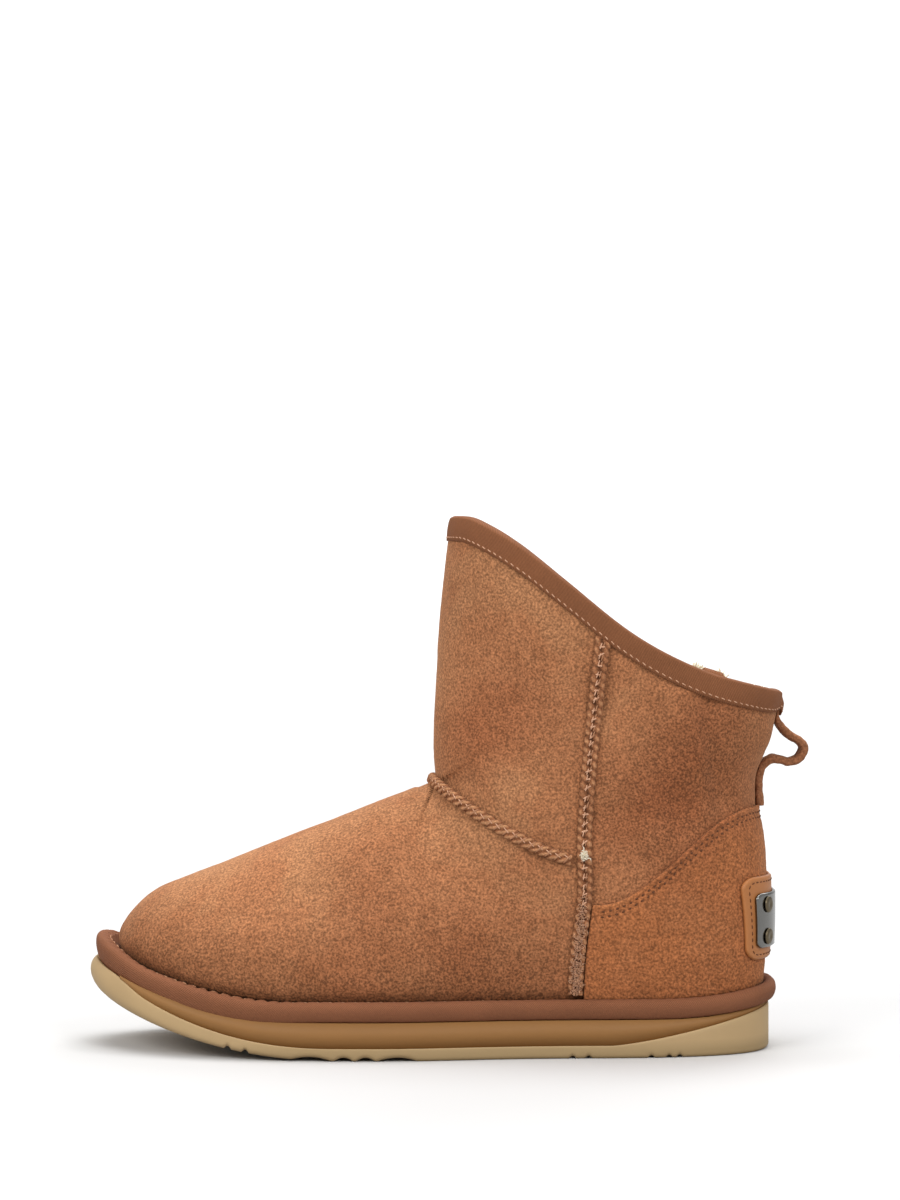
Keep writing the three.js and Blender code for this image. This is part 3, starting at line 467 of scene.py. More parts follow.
def fuzz(points):
    return 0.05 * noise(points, 1.7, 5) + 0.03 * noise(points, 0.9, 6)


# %% [markdown]
# ## Meshes from grids
# A grid of points becomes quads whose corners are neighbours in the grid. Where the surface closes
# on itself, the last column joins the first. The collar tape and the welt carry a UV map in millimetres.

# %% Building a mesh
PIECES = []


def grid_faces(rows, columns, wrap_rows=False, wrap_columns=False):
    """Corner numbers of the quads, and the same in a grid that has one more row or column where
    it wraps, which is what the UV map needs."""
    i, j = np.meshgrid(
        np.arange(rows if wrap_rows else rows - 1),
        np.arange(columns if wrap_columns else columns - 1),
        indexing="ij",
    )
    i, j = i.ravel(), j.ravel()
    corners = [(i, j), (i, j + 1), (i + 1, j + 1), (i + 1, j)]
    faces = np.stack([(a % rows) * columns + b % columns for a, b in corners], 1)
    wide = columns + (1 if wrap_columns else 0)
    return faces, np.stack([a * wide + b for a, b in corners], 1)


def add_piece(name, points, faces, material, replaces=(), uv=None, tones=None, caps=()):
    """Puts a mesh into the scene in metres, shaded smooth, and lets it ride on the boot."""
    mesh = bpy.data.meshes.new(name)
    points = np.asarray(points, float).reshape(-1, 3)
    loops = np.concatenate([faces.ravel(), *[np.asarray(c) for c in caps]]).astype(np.int32)
    sizes = np.concatenate([np.full(len(faces), faces.shape[1]), [len(c) for c in caps]])
    sizes = sizes.astype(np.int32)
    starts = np.concatenate([[0], np.cumsum(sizes)[:-1]]).astype(np.int32)
    mesh.vertices.add(len(points))
    mesh.vertices.foreach_set("co", ((points + SHIFT) / 1000).astype(np.float32).ravel())
    mesh.loops.add(len(loops))
    mesh.loops.foreach_set("vertex_index", loops)
    mesh.polygons.add(len(sizes))
    mesh.polygons.foreach_set("loop_start", starts)
    mesh.polygons.foreach_set("loop_total", sizes)
    if uv is not None:
        flat = np.zeros((len(loops), 2), np.float32)
        flat[: len(uv)] = uv
        mesh.uv_layers.new(name="run").data.foreach_set("uv", flat.ravel())
    for key, values in (tones or {}).items():
        layer = mesh.attributes.new(key, "FLOAT", "POINT")
        layer.data.foreach_set("value", np.asarray(values, np.float32).ravel())
    mesh.update(calc_edges=True)
    mesh.validate()
    mesh.polygons.foreach_set("use_smooth", np.ones(len(mesh.polygons), bool))
    mesh.materials.append(material)
    piece = bpy.data.objects.new(name, mesh)
    bpy.context.scene.collection.objects.link(piece)
    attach(piece, "root")
    if replaces:
        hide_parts(*replaces)
    PIECES.append(piece)
    print(f"{name}: {len(mesh.polygons)} faces")
    return piece


def add_tube(name, rings, material, replaces=(), uv=None, tones=None, closed=True, flip=False):
    """Rings of points, each closed on itself. They close on the first ring, or are capped."""
    rows, columns = rings.shape[:2]
    faces, uv_index = grid_faces(rows, columns, wrap_rows=closed, wrap_columns=True)
    if flip:
        faces, uv_index = faces[:, ::-1], uv_index[:, ::-1]
    caps = []
    if not closed:
        first, last = np.arange(columns)[::-1], (rows - 1) * columns + np.arange(columns)
        caps = [first[::-1], last[::-1]] if flip else [first, last]
    coords = None if uv is None else uv.reshape(-1, 2)[uv_index.ravel()]
    return add_piece(name, rings, faces, material, replaces, coords, tones, caps)


def add_sheet(name, near, far, material, replaces=(), tones=None):
    """A sheet with a thickness: a far face, a near face turned round, and a strip along its edge."""
    rows, columns = far.shape[:2]
    count = rows * columns
    top, _ = grid_faces(rows, columns)
    i = np.arange(count).reshape(rows, columns)
    edge = np.concatenate([i[0, :-1], i[:-1, -1], i[-1, :0:-1], i[:0:-1, 0]])
    after = np.roll(edge, -1)
    strip = np.stack([after, edge, edge + count, after + count], 1)
    faces = np.concatenate([top, top[:, ::-1] + count, strip])
    values = {key: np.tile(value.ravel(), 2) for key, value in (tones or {}).items()}
    points = np.concatenate([far.reshape(-1, 3), near.reshape(-1, 3)])
    return add_piece(name, points, faces, material, replaces, tones=values)


def rounded_edge(distance, radius):
    """How much of its thickness a sheet has at a distance from its edge: a quarter circle."""
    return np.sqrt(np.clip(1 - (1 - np.clip(distance / radius, 0, 1)) ** 2, 0, 1))


def add_strands(name, lines, outs, radius, material, sides=6, taper=0.5):
    """Many short threads in one mesh. `lines` holds the middle of each, `outs` the way off the
    surface. A ring lies across each point, thinner towards the two ends by `taper`."""
    count, steps = lines.shape[:2]
    run = unit(np.gradient(lines, axis=1))
    across = unit(np.cross(run, outs))
    up = np.cross(across, run)
    turn = turns_of(sides)
    ends = 1 - (1 - taper) * np.abs(np.linspace(-1, 1, steps)) ** 4
    thick = radius * ends[None, :, None, None]
    ring = np.cos(turn)[:, None] * across[:, :, None] + np.sin(turn)[:, None] * up[:, :, None]
    points = lines[:, :, None] + thick * ring
    one, _ = grid_faces(steps, sides, wrap_columns=True)
    base = np.arange(count)[:, None] * steps * sides
    faces = (one[None] + base[:, None]).reshape(-1, 4)
    cap = np.array([[0, 3, 2, 1], [0, 5, 4, 3]])[: sides // 2 - 1]
    first = [base + corners for corners in cap]
    last = [base + (steps - 1) * sides + corners for corners in np.roll(cap[:, ::-1], 1, axis=1)]
    return add_piece(name, points, np.concatenate([faces, *first, *last]), material)


# %% [markdown]
# ## Materials
# The finishes share a few effects, and each effect is a node group with named sockets: the nap of
# suede, the twill of tape, the curls of wool and the skin of moulded rubber. A group gives colours
# and heights only, and each material keeps its own shader.

# %% Node helpers
def srgb(text, alpha=1.0):
    """A colour as it is read off a picture, turned into the linear light that shaders use."""
    values = np.array([int(text[i : i + 2], 16) / 255 for i in (1, 3, 5)])
    linear = np.where(values <= 0.04045, values / 12.92, ((values + 0.055) / 1.055) ** 2.4)
    return (*linear, alpha)


class Nodes:
    """A node tree that is being built, with short ways to add its nodes and to join them."""

    def __init__(self, tree):
        self.tree = tree

    def join(self, value, socket):
        """Gives an input a value, a colour as text, or another node's output."""
        if isinstance(value, bpy.types.NodeSocket):
            self.tree.links.new(value, socket)
        else:
            socket.default_value = srgb(value) if isinstance(value, str) else value

    def add(self, kind, inputs=None, **settings):
        """Adds a node, with its settings, and its inputs by name or number."""
        made = self.tree.nodes.new(f"ShaderNode{kind}")
        for key, value in settings.items():
            setattr(made, key, value)
        for key, value in (inputs or {}).items():
            self.join(value, made.inputs[key])
        return made

    def calc(self, operation, a, b=0.0, c=0.0):
        return self.add("Math", {0: a, 1: b, 2: c}, operation=operation).outputs[0]

    def blend(self, share, a, b):
        return self.add("Mix", {0: share, 6: a, 7: b}, data_type="RGBA").outputs[2]

    def cloud(self, place, scale, detail, roughness=0.5, distortion=0.0):
        """Soft noise between 0 and 1."""
        made = self.add("TexNoise", {"Vector": place, "Scale": scale, "Detail": detail})
        self.join(roughness, made.inputs["Roughness"])
        self.join(distortion, made.inputs["Distortion"])
        return made.outputs[0]

    def spread(self, value, low, high, to_low=0.0, to_high=1.0):
        """Carries the span from low to high over to another one, and stops at its ends."""
        spans = {0: value, 1: low, 2: high, 3: to_low, 4: to_high}
        return self.add("MapRange", spans).outputs[0]

    def shade(self, colour, value):
        return self.add("HueSaturation", {"Color": colour, "Value": value}).outputs[0]


def group_of(name, inputs, outputs):
    """A node group with named sockets: a place for None, a colour for text, else a number. It
    comes back with the sockets that the group is given and those at its end."""
    tree = bpy.data.node_groups.new(name, "ShaderNodeTree")
    for label, value in inputs.items():
        kind = "Vector" if value is None else "Color" if isinstance(value, str) else "Float"
        socket = tree.interface.new_socket(label, in_out="INPUT", socket_type=f"NodeSocket{kind}")
        if value is not None:
            socket.default_value = srgb(value) if kind == "Color" else value
    for label in outputs:
        kind = "Color" if label == "Colour" else "Float"
        tree.interface.new_socket(label, in_out="OUTPUT", socket_type=f"NodeSocket{kind}")
    given, end = tree.nodes.new("NodeGroupInput"), tree.nodes.new("NodeGroupOutput")
    print("group:", name)
    return Nodes(tree), given.outputs, end.inputs


# %% The nap of suede
SUEDE_COLOURS = {"Colour": "#a06a47", "Light": "#ad805a", "Dark": "#794729", "Red": "#995d3c"}
nap, given, end = group_of(
    "Nap",
    {"Place": None, "Tone": 0.5, "Warmth": 0.5, **SUEDE_COLOURS, "Grain Size": 0.85, "Grain": 1.3},
    ["Colour", "Height", "Roughness"],
)
place, tone = given["Place"], nap.calc("SUBTRACT", given["Tone"], 0.5)
fine = nap.cloud(place, nap.calc("DIVIDE", 1000.0, given["Grain Size"]), 1.0, 0.6)
stroke = nap.add("Mapping", {"Vector": place, "Rotation": (0, 0.7, 0), "Scale": (1, 1, 0.35)})
brushed = nap.cloud(stroke.outputs[0], 420.0, 2.0)
broad, patchy = nap.cloud(place, 38.0, 3.0, 0.55), nap.cloud(place, 120.0, 4.0, 0.6)
light_share = nap.spread(nap.calc("ADD", broad, tone), 0.42, 0.78)
dark_share = nap.spread(nap.calc("SUBTRACT", patchy, tone), 0.52, 1.45)
warmth = nap.calc("SUBTRACT", given["Warmth"], 0.5)
red_share = nap.spread(nap.calc("ADD", broad, warmth), 0.45, 1.1)
colour = nap.blend(light_share, given["Colour"], given["Light"])
colour = nap.blend(red_share, colour, given["Red"])
colour = nap.blend(dark_share, colour, given["Dark"])
speck = nap.calc("MULTIPLY", nap.spread(fine, 0.34, 0.74, -0.42, 1.0), given["Grain"])
value = nap.calc("MULTIPLY_ADD", speck, 0.5, 0.64)
value = nap.calc("MULTIPLY_ADD", given["Tone"], 0.5, value)
value = nap.calc("MULTIPLY_ADD", nap.calc("SUBTRACT", brushed, 0.5), 0.22, value)
nap.join(nap.shade(colour, value), end["Colour"])
nap.join(nap.calc("MULTIPLY_ADD", brushed, 0.6, fine), end["Height"])
nap.join(nap.calc("MULTIPLY_ADD", fine, 0.2, 0.78), end["Roughness"])

# %% The twill of tape
TAPE_COLOURS = {"Colour": "#95603f", "Gap Colour": "#6b4128"}
twill, given, end = group_of(
    "Twill", {"Run": None, "Place": None, "Pitch": 0.85, "Lean": 0.7, **TAPE_COLOURS}, ["Colour", "Height"]
)


def wave(length, turn):
    """Between 0 and 1: the sine of a length, `turn` radians to each pitch."""
    phase = twill.calc("MULTIPLY", twill.calc("DIVIDE", length, given["Pitch"]), turn)
    return twill.calc("MULTIPLY_ADD", twill.calc("SINE", phase), 0.5, 0.5)


along, over, _ = twill.add("SeparateXYZ", {0: given["Run"]}).outputs
rib = wave(twill.calc("MULTIPLY_ADD", over, given["Lean"], along), 2 * math.pi)
cross = wave(twill.calc("SUBTRACT", along, over), 4 * math.pi)
weave = twill.calc("MULTIPLY_ADD", cross, 0.25, twill.calc("MULTIPLY", rib, 0.75))
worn, yarn = twill.cloud(given["Place"], 60.0, 4.0), twill.cloud(given["Place"], 1500.0, 2.0)
colour = twill.blend(twill.calc("POWER", weave, 0.8), given["Gap Colour"], given["Colour"])
value = twill.calc("MULTIPLY_ADD", worn, 0.3, 0.85)
value = twill.calc("MULTIPLY_ADD", twill.calc("SUBTRACT", yarn, 0.5), 0.3, value)
twill.join(twill.shade(colour, value), end["Colour"])
twill.join(twill.calc("MULTIPLY_ADD", yarn, 0.3, weave), end["Height"])

# %% The curls of wool
WOOL_COLOURS = {"Colour": "#efe5cf", "Root Colour": "#b9986c"}
curls, given, end = group_of(
    "Wool", {"Place": None, "Depth": 0.5, **WOOL_COLOURS, "Curl Size": 3.2}, ["Colour", "Height"]
)
curl_scale = curls.calc("DIVIDE", 1000.0, given["Curl Size"])
curl = curls.cloud(given["Place"], curl_scale, 4.0, distortion=1.6)
hairs = curls.cloud(given["Place"], 2200.0, 3.0, distortion=2.0)
# Painted shade: the colour falls to the darker root colour where the curls are low and the pile is deep, so
# the hollows read darker.
depth = curls.calc("MULTIPLY_ADD", curl, 0.7, curls.calc("MULTIPLY", given["Depth"], 0.5))
colour = curls.blend(curls.spread(depth, 0.3, 0.75), given["Root Colour"], given["Colour"])
curls.join(curls.shade(colour, curls.calc("MULTIPLY_ADD", hairs, 0.3, 0.86)), end["Colour"])
curls.join(curls.calc("MULTIPLY_ADD", hairs, 0.4, curl), end["Height"])

# %% The skin of moulded rubber
RUBBER_COLOURS = {"Colour": "#b3976e", "Dirt": "#7d6a47"}
moulded, given, end = group_of(
    "Moulded",
    {"Place": None, **RUBBER_COLOURS, "Dirt Height": 4.0, "Dirt Amount": 0.4},
    ["Colour", "Height", "Roughness"],
)
place = given["Place"]
skin, tide = moulded.cloud(place, 900.0, 3.0), moulded.cloud(place, 55.0, 5.0, 0.6)
lift = moulded.calc("MULTIPLY", moulded.add("SeparateXYZ", {0: place}).outputs[2], 1000.0)
reach = moulded.calc("MULTIPLY", moulded.calc("ADD", tide, 0.5), given["Dirt Height"])
# Darker towards the bottom: below a height that wanders with the noise, the colour goes towards the second,
# darker colour.
low = moulded.spread(moulded.calc("SUBTRACT", lift, reach), -1.5, 2.5, 1.0, 0.0)
dirt = moulded.calc("MULTIPLY", low, given["Dirt Amount"])
colour = moulded.blend(dirt, given["Colour"], given["Dirt"])
value = moulded.calc("MULTIPLY_ADD", tide, 0.16, 0.92)
moulded.join(moulded.shade(colour, value), end["Colour"])
moulded.join(skin, end["Height"])
moulded.join(moulded.calc("MULTIPLY_ADD", tide, 0.25, 0.45), end["Roughness"])


# %% A finish from a group
def finish_of(name, effect, bump, bump_size, roughness=None, shader=None, uses=("Place",), **values):
    """A material: the group's colour and height go to the shader and its bump, and the rest is
    set on the shader itself. `uses` names what the group reads: its place, the run of the UV map
    or an attribute. `values` are the group's own inputs, with _ for a space."""
    material = bpy.data.materials.new(name)
    material.use_nodes = True
    nodes = Nodes(material.node_tree)
    shader_inputs = material.node_tree.nodes["Principled BSDF"].inputs
    made = nodes.add("Group", node_tree=effect.tree)
    coordinates = nodes.add("TexCoord").outputs
    sources = {"Place": coordinates["Object"], "Run": coordinates["UV"]}
    for key in uses:
        if key not in sources:
            sources[key] = nodes.add("Attribute", attribute_name=key.lower()).outputs["Fac"]
        nodes.join(sources[key], made.inputs[key])
    for key, value in values.items():
        nodes.join(value, made.inputs[key.replace("_", " ")])
    height = made.outputs["Height"]
    raised = nodes.add("Bump", {"Strength": bump, "Distance": bump_size / 1000, "Height": height})
    nodes.join(made.outputs["Colour"], shader_inputs["Base Color"])
    nodes.join(raised.outputs[0], shader_inputs["Normal"])
    nodes.join(made.outputs["Roughness"] if roughness is None else roughness, shader_inputs["Roughness"])
    for key, value in (shader or {}).items():
        nodes.join(value, shader_inputs[key])
    print("finish:", name)
    return material


def gloss(level, **more):
    return {"Specular IOR Level": level, **{key.replace("_", " "): more[key] for key in more}}


SUEDE_SHEEN = gloss(0.15, Sheen_Weight=0.25, Sheen_Roughness=0.5, Sheen_Tint="#e0b48c")
WOOL_SHEEN = gloss(0.1, Sheen_Weight=0.3)
METAL = {"Metallic": 1.0}
HIDE_USES, TAPE_USES = ("Place", "Tone", "Warmth"), ("Run", "Place")
COUNTER_LOOK = {"Colour": "#a2643d", "Light": "#ab7249", "Dark": "#7f4b2a", "Red": "#93583a"}
SEAM_LOOK = {"Colour": "#a06a48", "Light": "#c4946c", "Dark": "#6d4128"}
LOOP_LOOK = {"Colour": "#8f5c3e", "Light": "#a87755", "Dark": "#5f3a24", "Red": "#84503a"}
FINE = {"Grain_Size": 0.8, "Grain": 0.8}
COARSE = {"Grain_Size": 0.95, "Grain": 1.25}
suede = finish_of("suede", nap, 0.55, 0.35, None, SUEDE_SHEEN, HIDE_USES)
COUNTER_LOOK.update(COARSE)
counter_suede = finish_of("counter_suede", nap, 0.7, 0.5, None, SUEDE_SHEEN, HIDE_USES, **COUNTER_LOOK)
seam_suede = finish_of("seam_suede", nap, 0.8, 0.5, None, SUEDE_SHEEN, ("Place", "Tone"), **SEAM_LOOK, **FINE)
loop_suede = finish_of("loop_suede", nap, 0.8, 0.5, None, SUEDE_SHEEN, **LOOP_LOOK, **FINE)
tape = finish_of("tape", twill, 0.7, 0.3, 0.8, gloss(0.2), TAPE_USES)
WELT_LOOK = {"Colour": "#976042", "Gap_Colour": "#6a432d", "Lean": 0.9}
welt_tape = finish_of("welt_tape", twill, 0.7, 0.3, 0.8, gloss(0.2), TAPE_USES, **WELT_LOOK)


# The root colour is the painted shade of a yarn's hollows.
def yarn_of(name, colour, root, *rest, curl=0.6, shader=None):
    return finish_of(name, curls, *rest, shader, Colour=colour, Root_Colour=root, Curl_Size=curl)


wool = finish_of("wool", curls, 0.8, 0.8, 0.95, WOOL_SHEEN, ("Place", "Depth"))
wool_tips = finish_of("wool_tips", curls, 0.3, 0.2, 0.95, WOOL_SHEEN, Depth=0.95, Curl_Size=1.2)
seam_wool = yarn_of("seam_wool", "#c99a78", "#94603f", 0.3, 0.2, 0.95, curl=1.2, shader=WOOL_SHEEN)
thread = yarn_of("thread", "#dcae8e", "#a8714f", 0.5, 0.1, 0.7)
dark_thread = yarn_of("dark_thread", "#b98560", "#7c4e33", 0.5, 0.1, 0.7)


def moulded_of(name, colour, dirt, height, amount, *rest):
    """A finish with the skin of moulded rubber, darker up to a height."""
    return finish_of(name, moulded, *rest, Colour=colour, Dirt=dirt, Dirt_Height=height, Dirt_Amount=amount)


rubber = finish_of("rubber", moulded, 0.25, 0.1, None, gloss(0.35))
foam = moulded_of("foam", "#906638", "#66482a", 5.0, 0.25, 0.3, 0.1, None, gloss(0.3))
smooth_leather = moulded_of("smooth_leather", "#ac6e3c", "#774724", 1.0, 0.1, 0.3, 0.15, 0.48, gloss(0.4))
steel = moulded_of("steel", "#807f7c", "#5f5d59", 1.0, 0.1, 0.08, 0.05, 0.17, METAL)
brass = moulded_of("brass", "#6f6450", "#443c2e", 1.0, 0.2, 0.1, 0.05, 0.35, METAL)
# The dark finish paints the shade of the counter's stitch holes and colours the heel patch's dark stitches.
dark = moulded_of("hole", "#5e3820", "#3c2416", 4.0, 0.0, 0.1, 0.1, 0.95)

# %% [markdown]
# ## The suede
# The upper is one wall: suede outside, and the skin side inside, which the wool hides. The outside
# is a fine grid of rings, pushed out by the relief. The wall turns in at the collar and at the
# sole, and its inside is the same surface further in, so it closes as a real shell does.

# %% The shell of the upper
# Soft lighter, darker and redder places: the hide's own patches, and painted shade low on the vamp
# and toe and on the vamp's top. Each row: x, z, radius, lightness, warmth, side.
HIDE_AND_SHADE_PLACES = [
    (108, 100, 48, -0.14, 0.12, 0),
    (28, 134, 22, -0.1, 0.5, -1),
    (14, 122, 14, -0.1, 0.45, -1),
    (88, 96, 22, -0.2, 0.75, -1),
    (106, 120, 18, -0.2, 0.6, -1),
    (66, 128, 10, 0.1, 0.0, -1),
    (60, 84, 12, 0.0, 0.25, -1),
    (8, 176, 22, -0.04, 0.0, 0),
    (30, 108, 10, 0.08, 0.0, -1),
    (-62, 58, 20, 0.0, -0.12, 0),
    (-96, 42, 16, 0.0, -0.12, 0),
    (-20, 60, 16, -0.06, 0.25, -1),
    (-30, 74, 18, -0.09, 0.0, 0),
    (14, 34, 30, -0.1, 0.22, 0),
    (20, 44, 18, -0.04, 0.2, -1),
    (-110, 34, 14, -0.05, 0.1, 0),
    (-40, 34, 22, -0.05, 0.15, -1),
]


def hide_tones(points, side):
    """Lightness and warmth of the hide, near one half: bells around the written places, partly the
    hide's own patches and partly painted shade, then painted shade beside the seams and low down
    towards the welt, most at the front, and a dark painted shadow in the gap just above the welt."""
    x, z = points[..., 0], points[..., 2]
    tone, warmth = np.full(x.shape, 0.5), np.full(x.shape, 0.45)
    for px, pz, radius, light, warm, only in HIDE_AND_SHADE_PLACES:
        bell = np.exp(-(((x - px) ** 2 + (z - pz) ** 2) / radius**2))
        bell = bell * (1 if only == 0 else 0.4 + 0.6 * np.clip(side * only, 0, 1))
        tone, warmth = tone + light * bell, warmth + warm * bell * 0.6
    # Painted shade: darker beside the side seams and low down towards the welt, more at the front, and a dark
    # painted shadow in the gap just above the welt.
    painted_seam_shade = 0.05 * np.exp(-((np.abs(x - seam_x(z)) / 6) ** 2))
    above = z - edge_height(x)
    front = smooth((along_x(0.75) - x) / 30)
    painted_low_shade = (0.11 + 0.16 * front) * np.exp(-((above / 24) ** 2))
    painted_gap_shadow = 0.8 * np.exp(-((above / 1.1) ** 2))
    return tone - painted_seam_shade - painted_low_shade - painted_gap_shadow, warmth


def side_of(t):
    """-1 on the outer side and 1 on the inner one, and between them near the front and back."""
    side = np.where(np.mod(t, 2 * np.pi) <= np.pi, -1.0, 1.0)
    return side * np.clip(np.abs(np.sin(t)) * 6, 0, 1)


AROUND, UP, INNER_ROWS, LEATHER = 400, 190, 49, 1.4
turns = turns_of(AROUND)
rows = np.linspace(0, 1, UP)[:, None]
plain = form_point(rows, turns)
stand = (relief(plain, side_of(turns)) + fuzz(plain)) * smooth((1 - rows) / 0.05)
outside = offset_point(rows, turns, stand, soft=3)
deep = np.full((INNER_ROWS, AROUND), -LEATHER - 1.2)
inside = offset_point(np.linspace(1, 0, INNER_ROWS)[:, None], turns, deep, soft=8)
upper_rings = np.concatenate([outside, inside])
tone, warmth = hide_tones(upper_rings, side_of(turns))
add_tube("upper_suede", upper_rings, suede, ["upper"], tones={"tone": tone, "warmth": warmth})

# %% [markdown]
# ## The wool
# The lining is the wool of the same skin, 10 to 12 mm long. A surface with rounded lumps reads as
# wool from outside, and short curled locks along the rim break its outline.

# %% The lining
WOOL_ROWS, WOOL_AROUND = 150, 320


def pile_depth(u):
    """How far the wool stands in from the form: little at the rim, full 25 mm below it."""
    return 4.2 + 4.6 * smooth((0.985 - u) / 0.12) - 1.5 * smooth((0.12 - u) / 0.1)


def lumps_of(points, size, small, seed):
    return 0.6 * puff(points, size, seed) + 0.4 * puff(points, small, seed + 1)


u, wool_turns = np.linspace(0.02, 0.975, WOOL_ROWS)[:, None], turns_of(WOOL_AROUND)
lumps = lumps_of(form_point(u, wool_turns), 6.0, 3.2, 11)
pile = offset_point(u, wool_turns, -(pile_depth(u) + 1.5 * lumps), soft=12)
back = offset_point(u, wool_turns, np.full(lumps.shape, -LEATHER - 1.5), soft=12)[::3]
# Painted shade: depth is high on the lumps of the pile and low in the hollows between them and on the back,
# where the wool finish paints it darker.
depth = np.concatenate([0.5 + 0.5 * lumps[::-1], np.zeros(back.shape[:2])])
add_tube("wool_lining", np.concatenate([pile[::-1], back]), wool, tones={"depth": depth})

# %% The footbed
def ring_at(turn, distance, height):
    """A loop around the bottom, at a distance outside the lower edge of the form."""
    p = form_point(0.0, turn)
    run = form_point(0.0, turn + STEP) - form_point(0.0, turn - STEP)
    out = unit(np.stack([run[..., 1], -run[..., 0]], -1))
    far = distance(out) if callable(distance) else distance
    xy = p[..., :2] + out * np.asarray(far)[..., None]
    return np.concatenate([xy, height(xy[..., 0], xy[..., 1])[..., None]], -1)


def reach_of(toe, side, heel, extra=0.0):
    """The reach of a layer by the direction it faces: side, and more or less at toe and heel."""

    def reach(out):
        to_toe, to_heel = np.maximum(0, -out[..., 0]) ** 2, np.maximum(0, out[..., 0]) ** 2
        return side + to_toe * (toe - side) + to_heel * (heel - side) + extra

    return reach


def drawn_in(loop, share, height):
    """A loop drawn in towards the middle line of the foot."""
    mate = np.roll(loop[::-1], 1, axis=0)
    middle = (loop + mate) / 2
    x, y = mix(middle[:, 0] * 0.8, loop[:, 0], share), mix(middle[:, 1], loop[:, 1], share)
    return np.stack([x, y, height(x, y)], -1)


def above_edge(rise):
    """The height of a line that keeps its distance from the lower edge of the form."""
    return lambda x, y: edge_height(x) + rise


BED_AROUND, BED_ROWS, BED_THICKNESS = 300, 34, 7.2
bed_rise = WELT_STAND - WELT_HEIGHT + 0.15
bed_edge = ring_at(turns_of(BED_AROUND), -FLANGE - OVERLAY, above_edge(bed_rise))
shares = np.linspace(0.02, 1, BED_ROWS)
top = [drawn_in(bed_edge, share, above_edge(bed_rise + BED_THICKNESS)) for share in shares]
bed = np.stack([*top, drawn_in(bed_edge, 1.0, above_edge(bed_rise + 1.0))])
bed_lumps = lumps_of(bed, 5.5, 3.0, 13)
lift = rounded_edge(1 - shares, 0.12)[:, None]
bed[:-1, :, 2] += (1.3 * bed_lumps[:-1] - 0.6) * lift - 2.5 * (1 - lift)
under = [drawn_in(bed_edge, share, above_edge(bed_rise)) for share in (1.0, 0.5, 0.02)]
# Painted shade: depth is high on the footbed's lumps and low in the hollows between them and underneath,
# where the wool finish paints it darker.
depth = np.concatenate([0.5 + 0.5 * bed_lumps, np.zeros((len(under), BED_AROUND))])
bed = np.stack([*bed, *under])
add_tube("wool_footbed", bed, wool, ["insole"], tones={"depth": depth}, closed=False, flip=True)


# %% Locks of wool
rng = np.random.default_rng(7)


def add_locks(name, roots, outs, length, radius, curl=0.5, material=wool_tips):
    """Curled locks: each leaves its root along `out` and bends aside by a random turn, by the
    square of the way along, with a small wave."""
    count = len(roots)
    aside = unit(rng.normal(size=(count, 3)))
    other = unit(np.cross(outs, aside))[:, None]
    s = np.linspace(0, 1, 6)[None, :, None]
    long = (length * rng.uniform(0.6, 1.2, count))[:, None, None]
    sway = 0.35 * s * np.sin(s * 7 + rng.uniform(0, 6, (count, 1, 1)))
    bend = curl * (s**2 * aside[:, None] + sway * other)
    lines = roots[:, None] + long * (0.8 * s * outs[:, None] + bend)
    others = np.broadcast_to(other, lines.shape)
    return add_strands(name, lines, others, radius, material, sides=4, taper=0.15)


LOCKS = 2250
lock_t = rng.uniform(0, 2 * np.pi, LOCKS)
lock_u = 0.99 - np.abs(rng.normal(0, 0.05, LOCKS))
roots = offset_point(lock_u, lock_t, -(pile_depth(lock_u) - 0.6))
lock_up, lock_out = form_frame(lock_u, lock_t)
add_locks("wool_locks", roots, unit(0.5 * lock_up - lock_out), 4.0, 0.42)

# Two wisps that stand over the far rim near its back.
for label, at, number in (("front", 106.0, 46), ("back", 114.5, 30)):
    wisp_t = np.linspace(math.pi, 2 * math.pi, 4000)
    found = wisp_t[np.argmin(np.abs(form_point(1.0, wisp_t)[:, 0] - at))]
    wisp_t = found + rng.normal(0, 0.018, number)
    wisp_at = form_point(1.0, wisp_t) + np.array([0, -1.5, 1.6])
    wisp_out = unit(np.array([0, 0.1, 1.0]) + rng.normal(0, 0.6, (number, 3)))
    add_locks(f"rim_wisp_{label}", wisp_at, wisp_out, 2.4, 0.26, 0.9)

# %% [markdown]
# ## The heel counter
# A second layer of coarser suede, cut with a long curved top edge, is sewn around the heel with
# two rows of holes. It is a sheet on the same form, so it can't sink into the upper.

# %% The counter
COUNTER_FAR = OVERLAY + COUNTER_THICKNESS
HOLE_ROWS = ((2.1, 2.8), (3.9, 2.8))
EDGE_SLOPE = 0.86


def counter_reach(u):
    """How far round from the back the counter reaches, up to the side seam."""

    def before(t):
        p = form_point(u, t)
        return p[..., 0] < seam_x(p[..., 2]) + SEAM_WIDTH / 2 + 0.3

    return math.pi - halve(0.5, math.pi, before)


def counter_places(columns, rows):
    """The ring and turn of each place of the counter: column 0 to 1 around it, row 0 to 1 up."""

    def turn_at(u):
        return math.pi + (2 * columns - 1) * counter_reach(u)

    def under(u):
        p = form_point(u, turn_at(u))
        return p[..., 2] < counter_top(p[..., 0])

    u = LOW_U + (halve(LOW_U, HIGH_U, under) - LOW_U) * rows[:, None]
    return u, turn_at(u)


def on_counter(u, t, distance):
    lift = relief(form_point(u, t), side_of(t)) * smooth(u / 0.06)
    return offset_point(u, t, lift + distance)


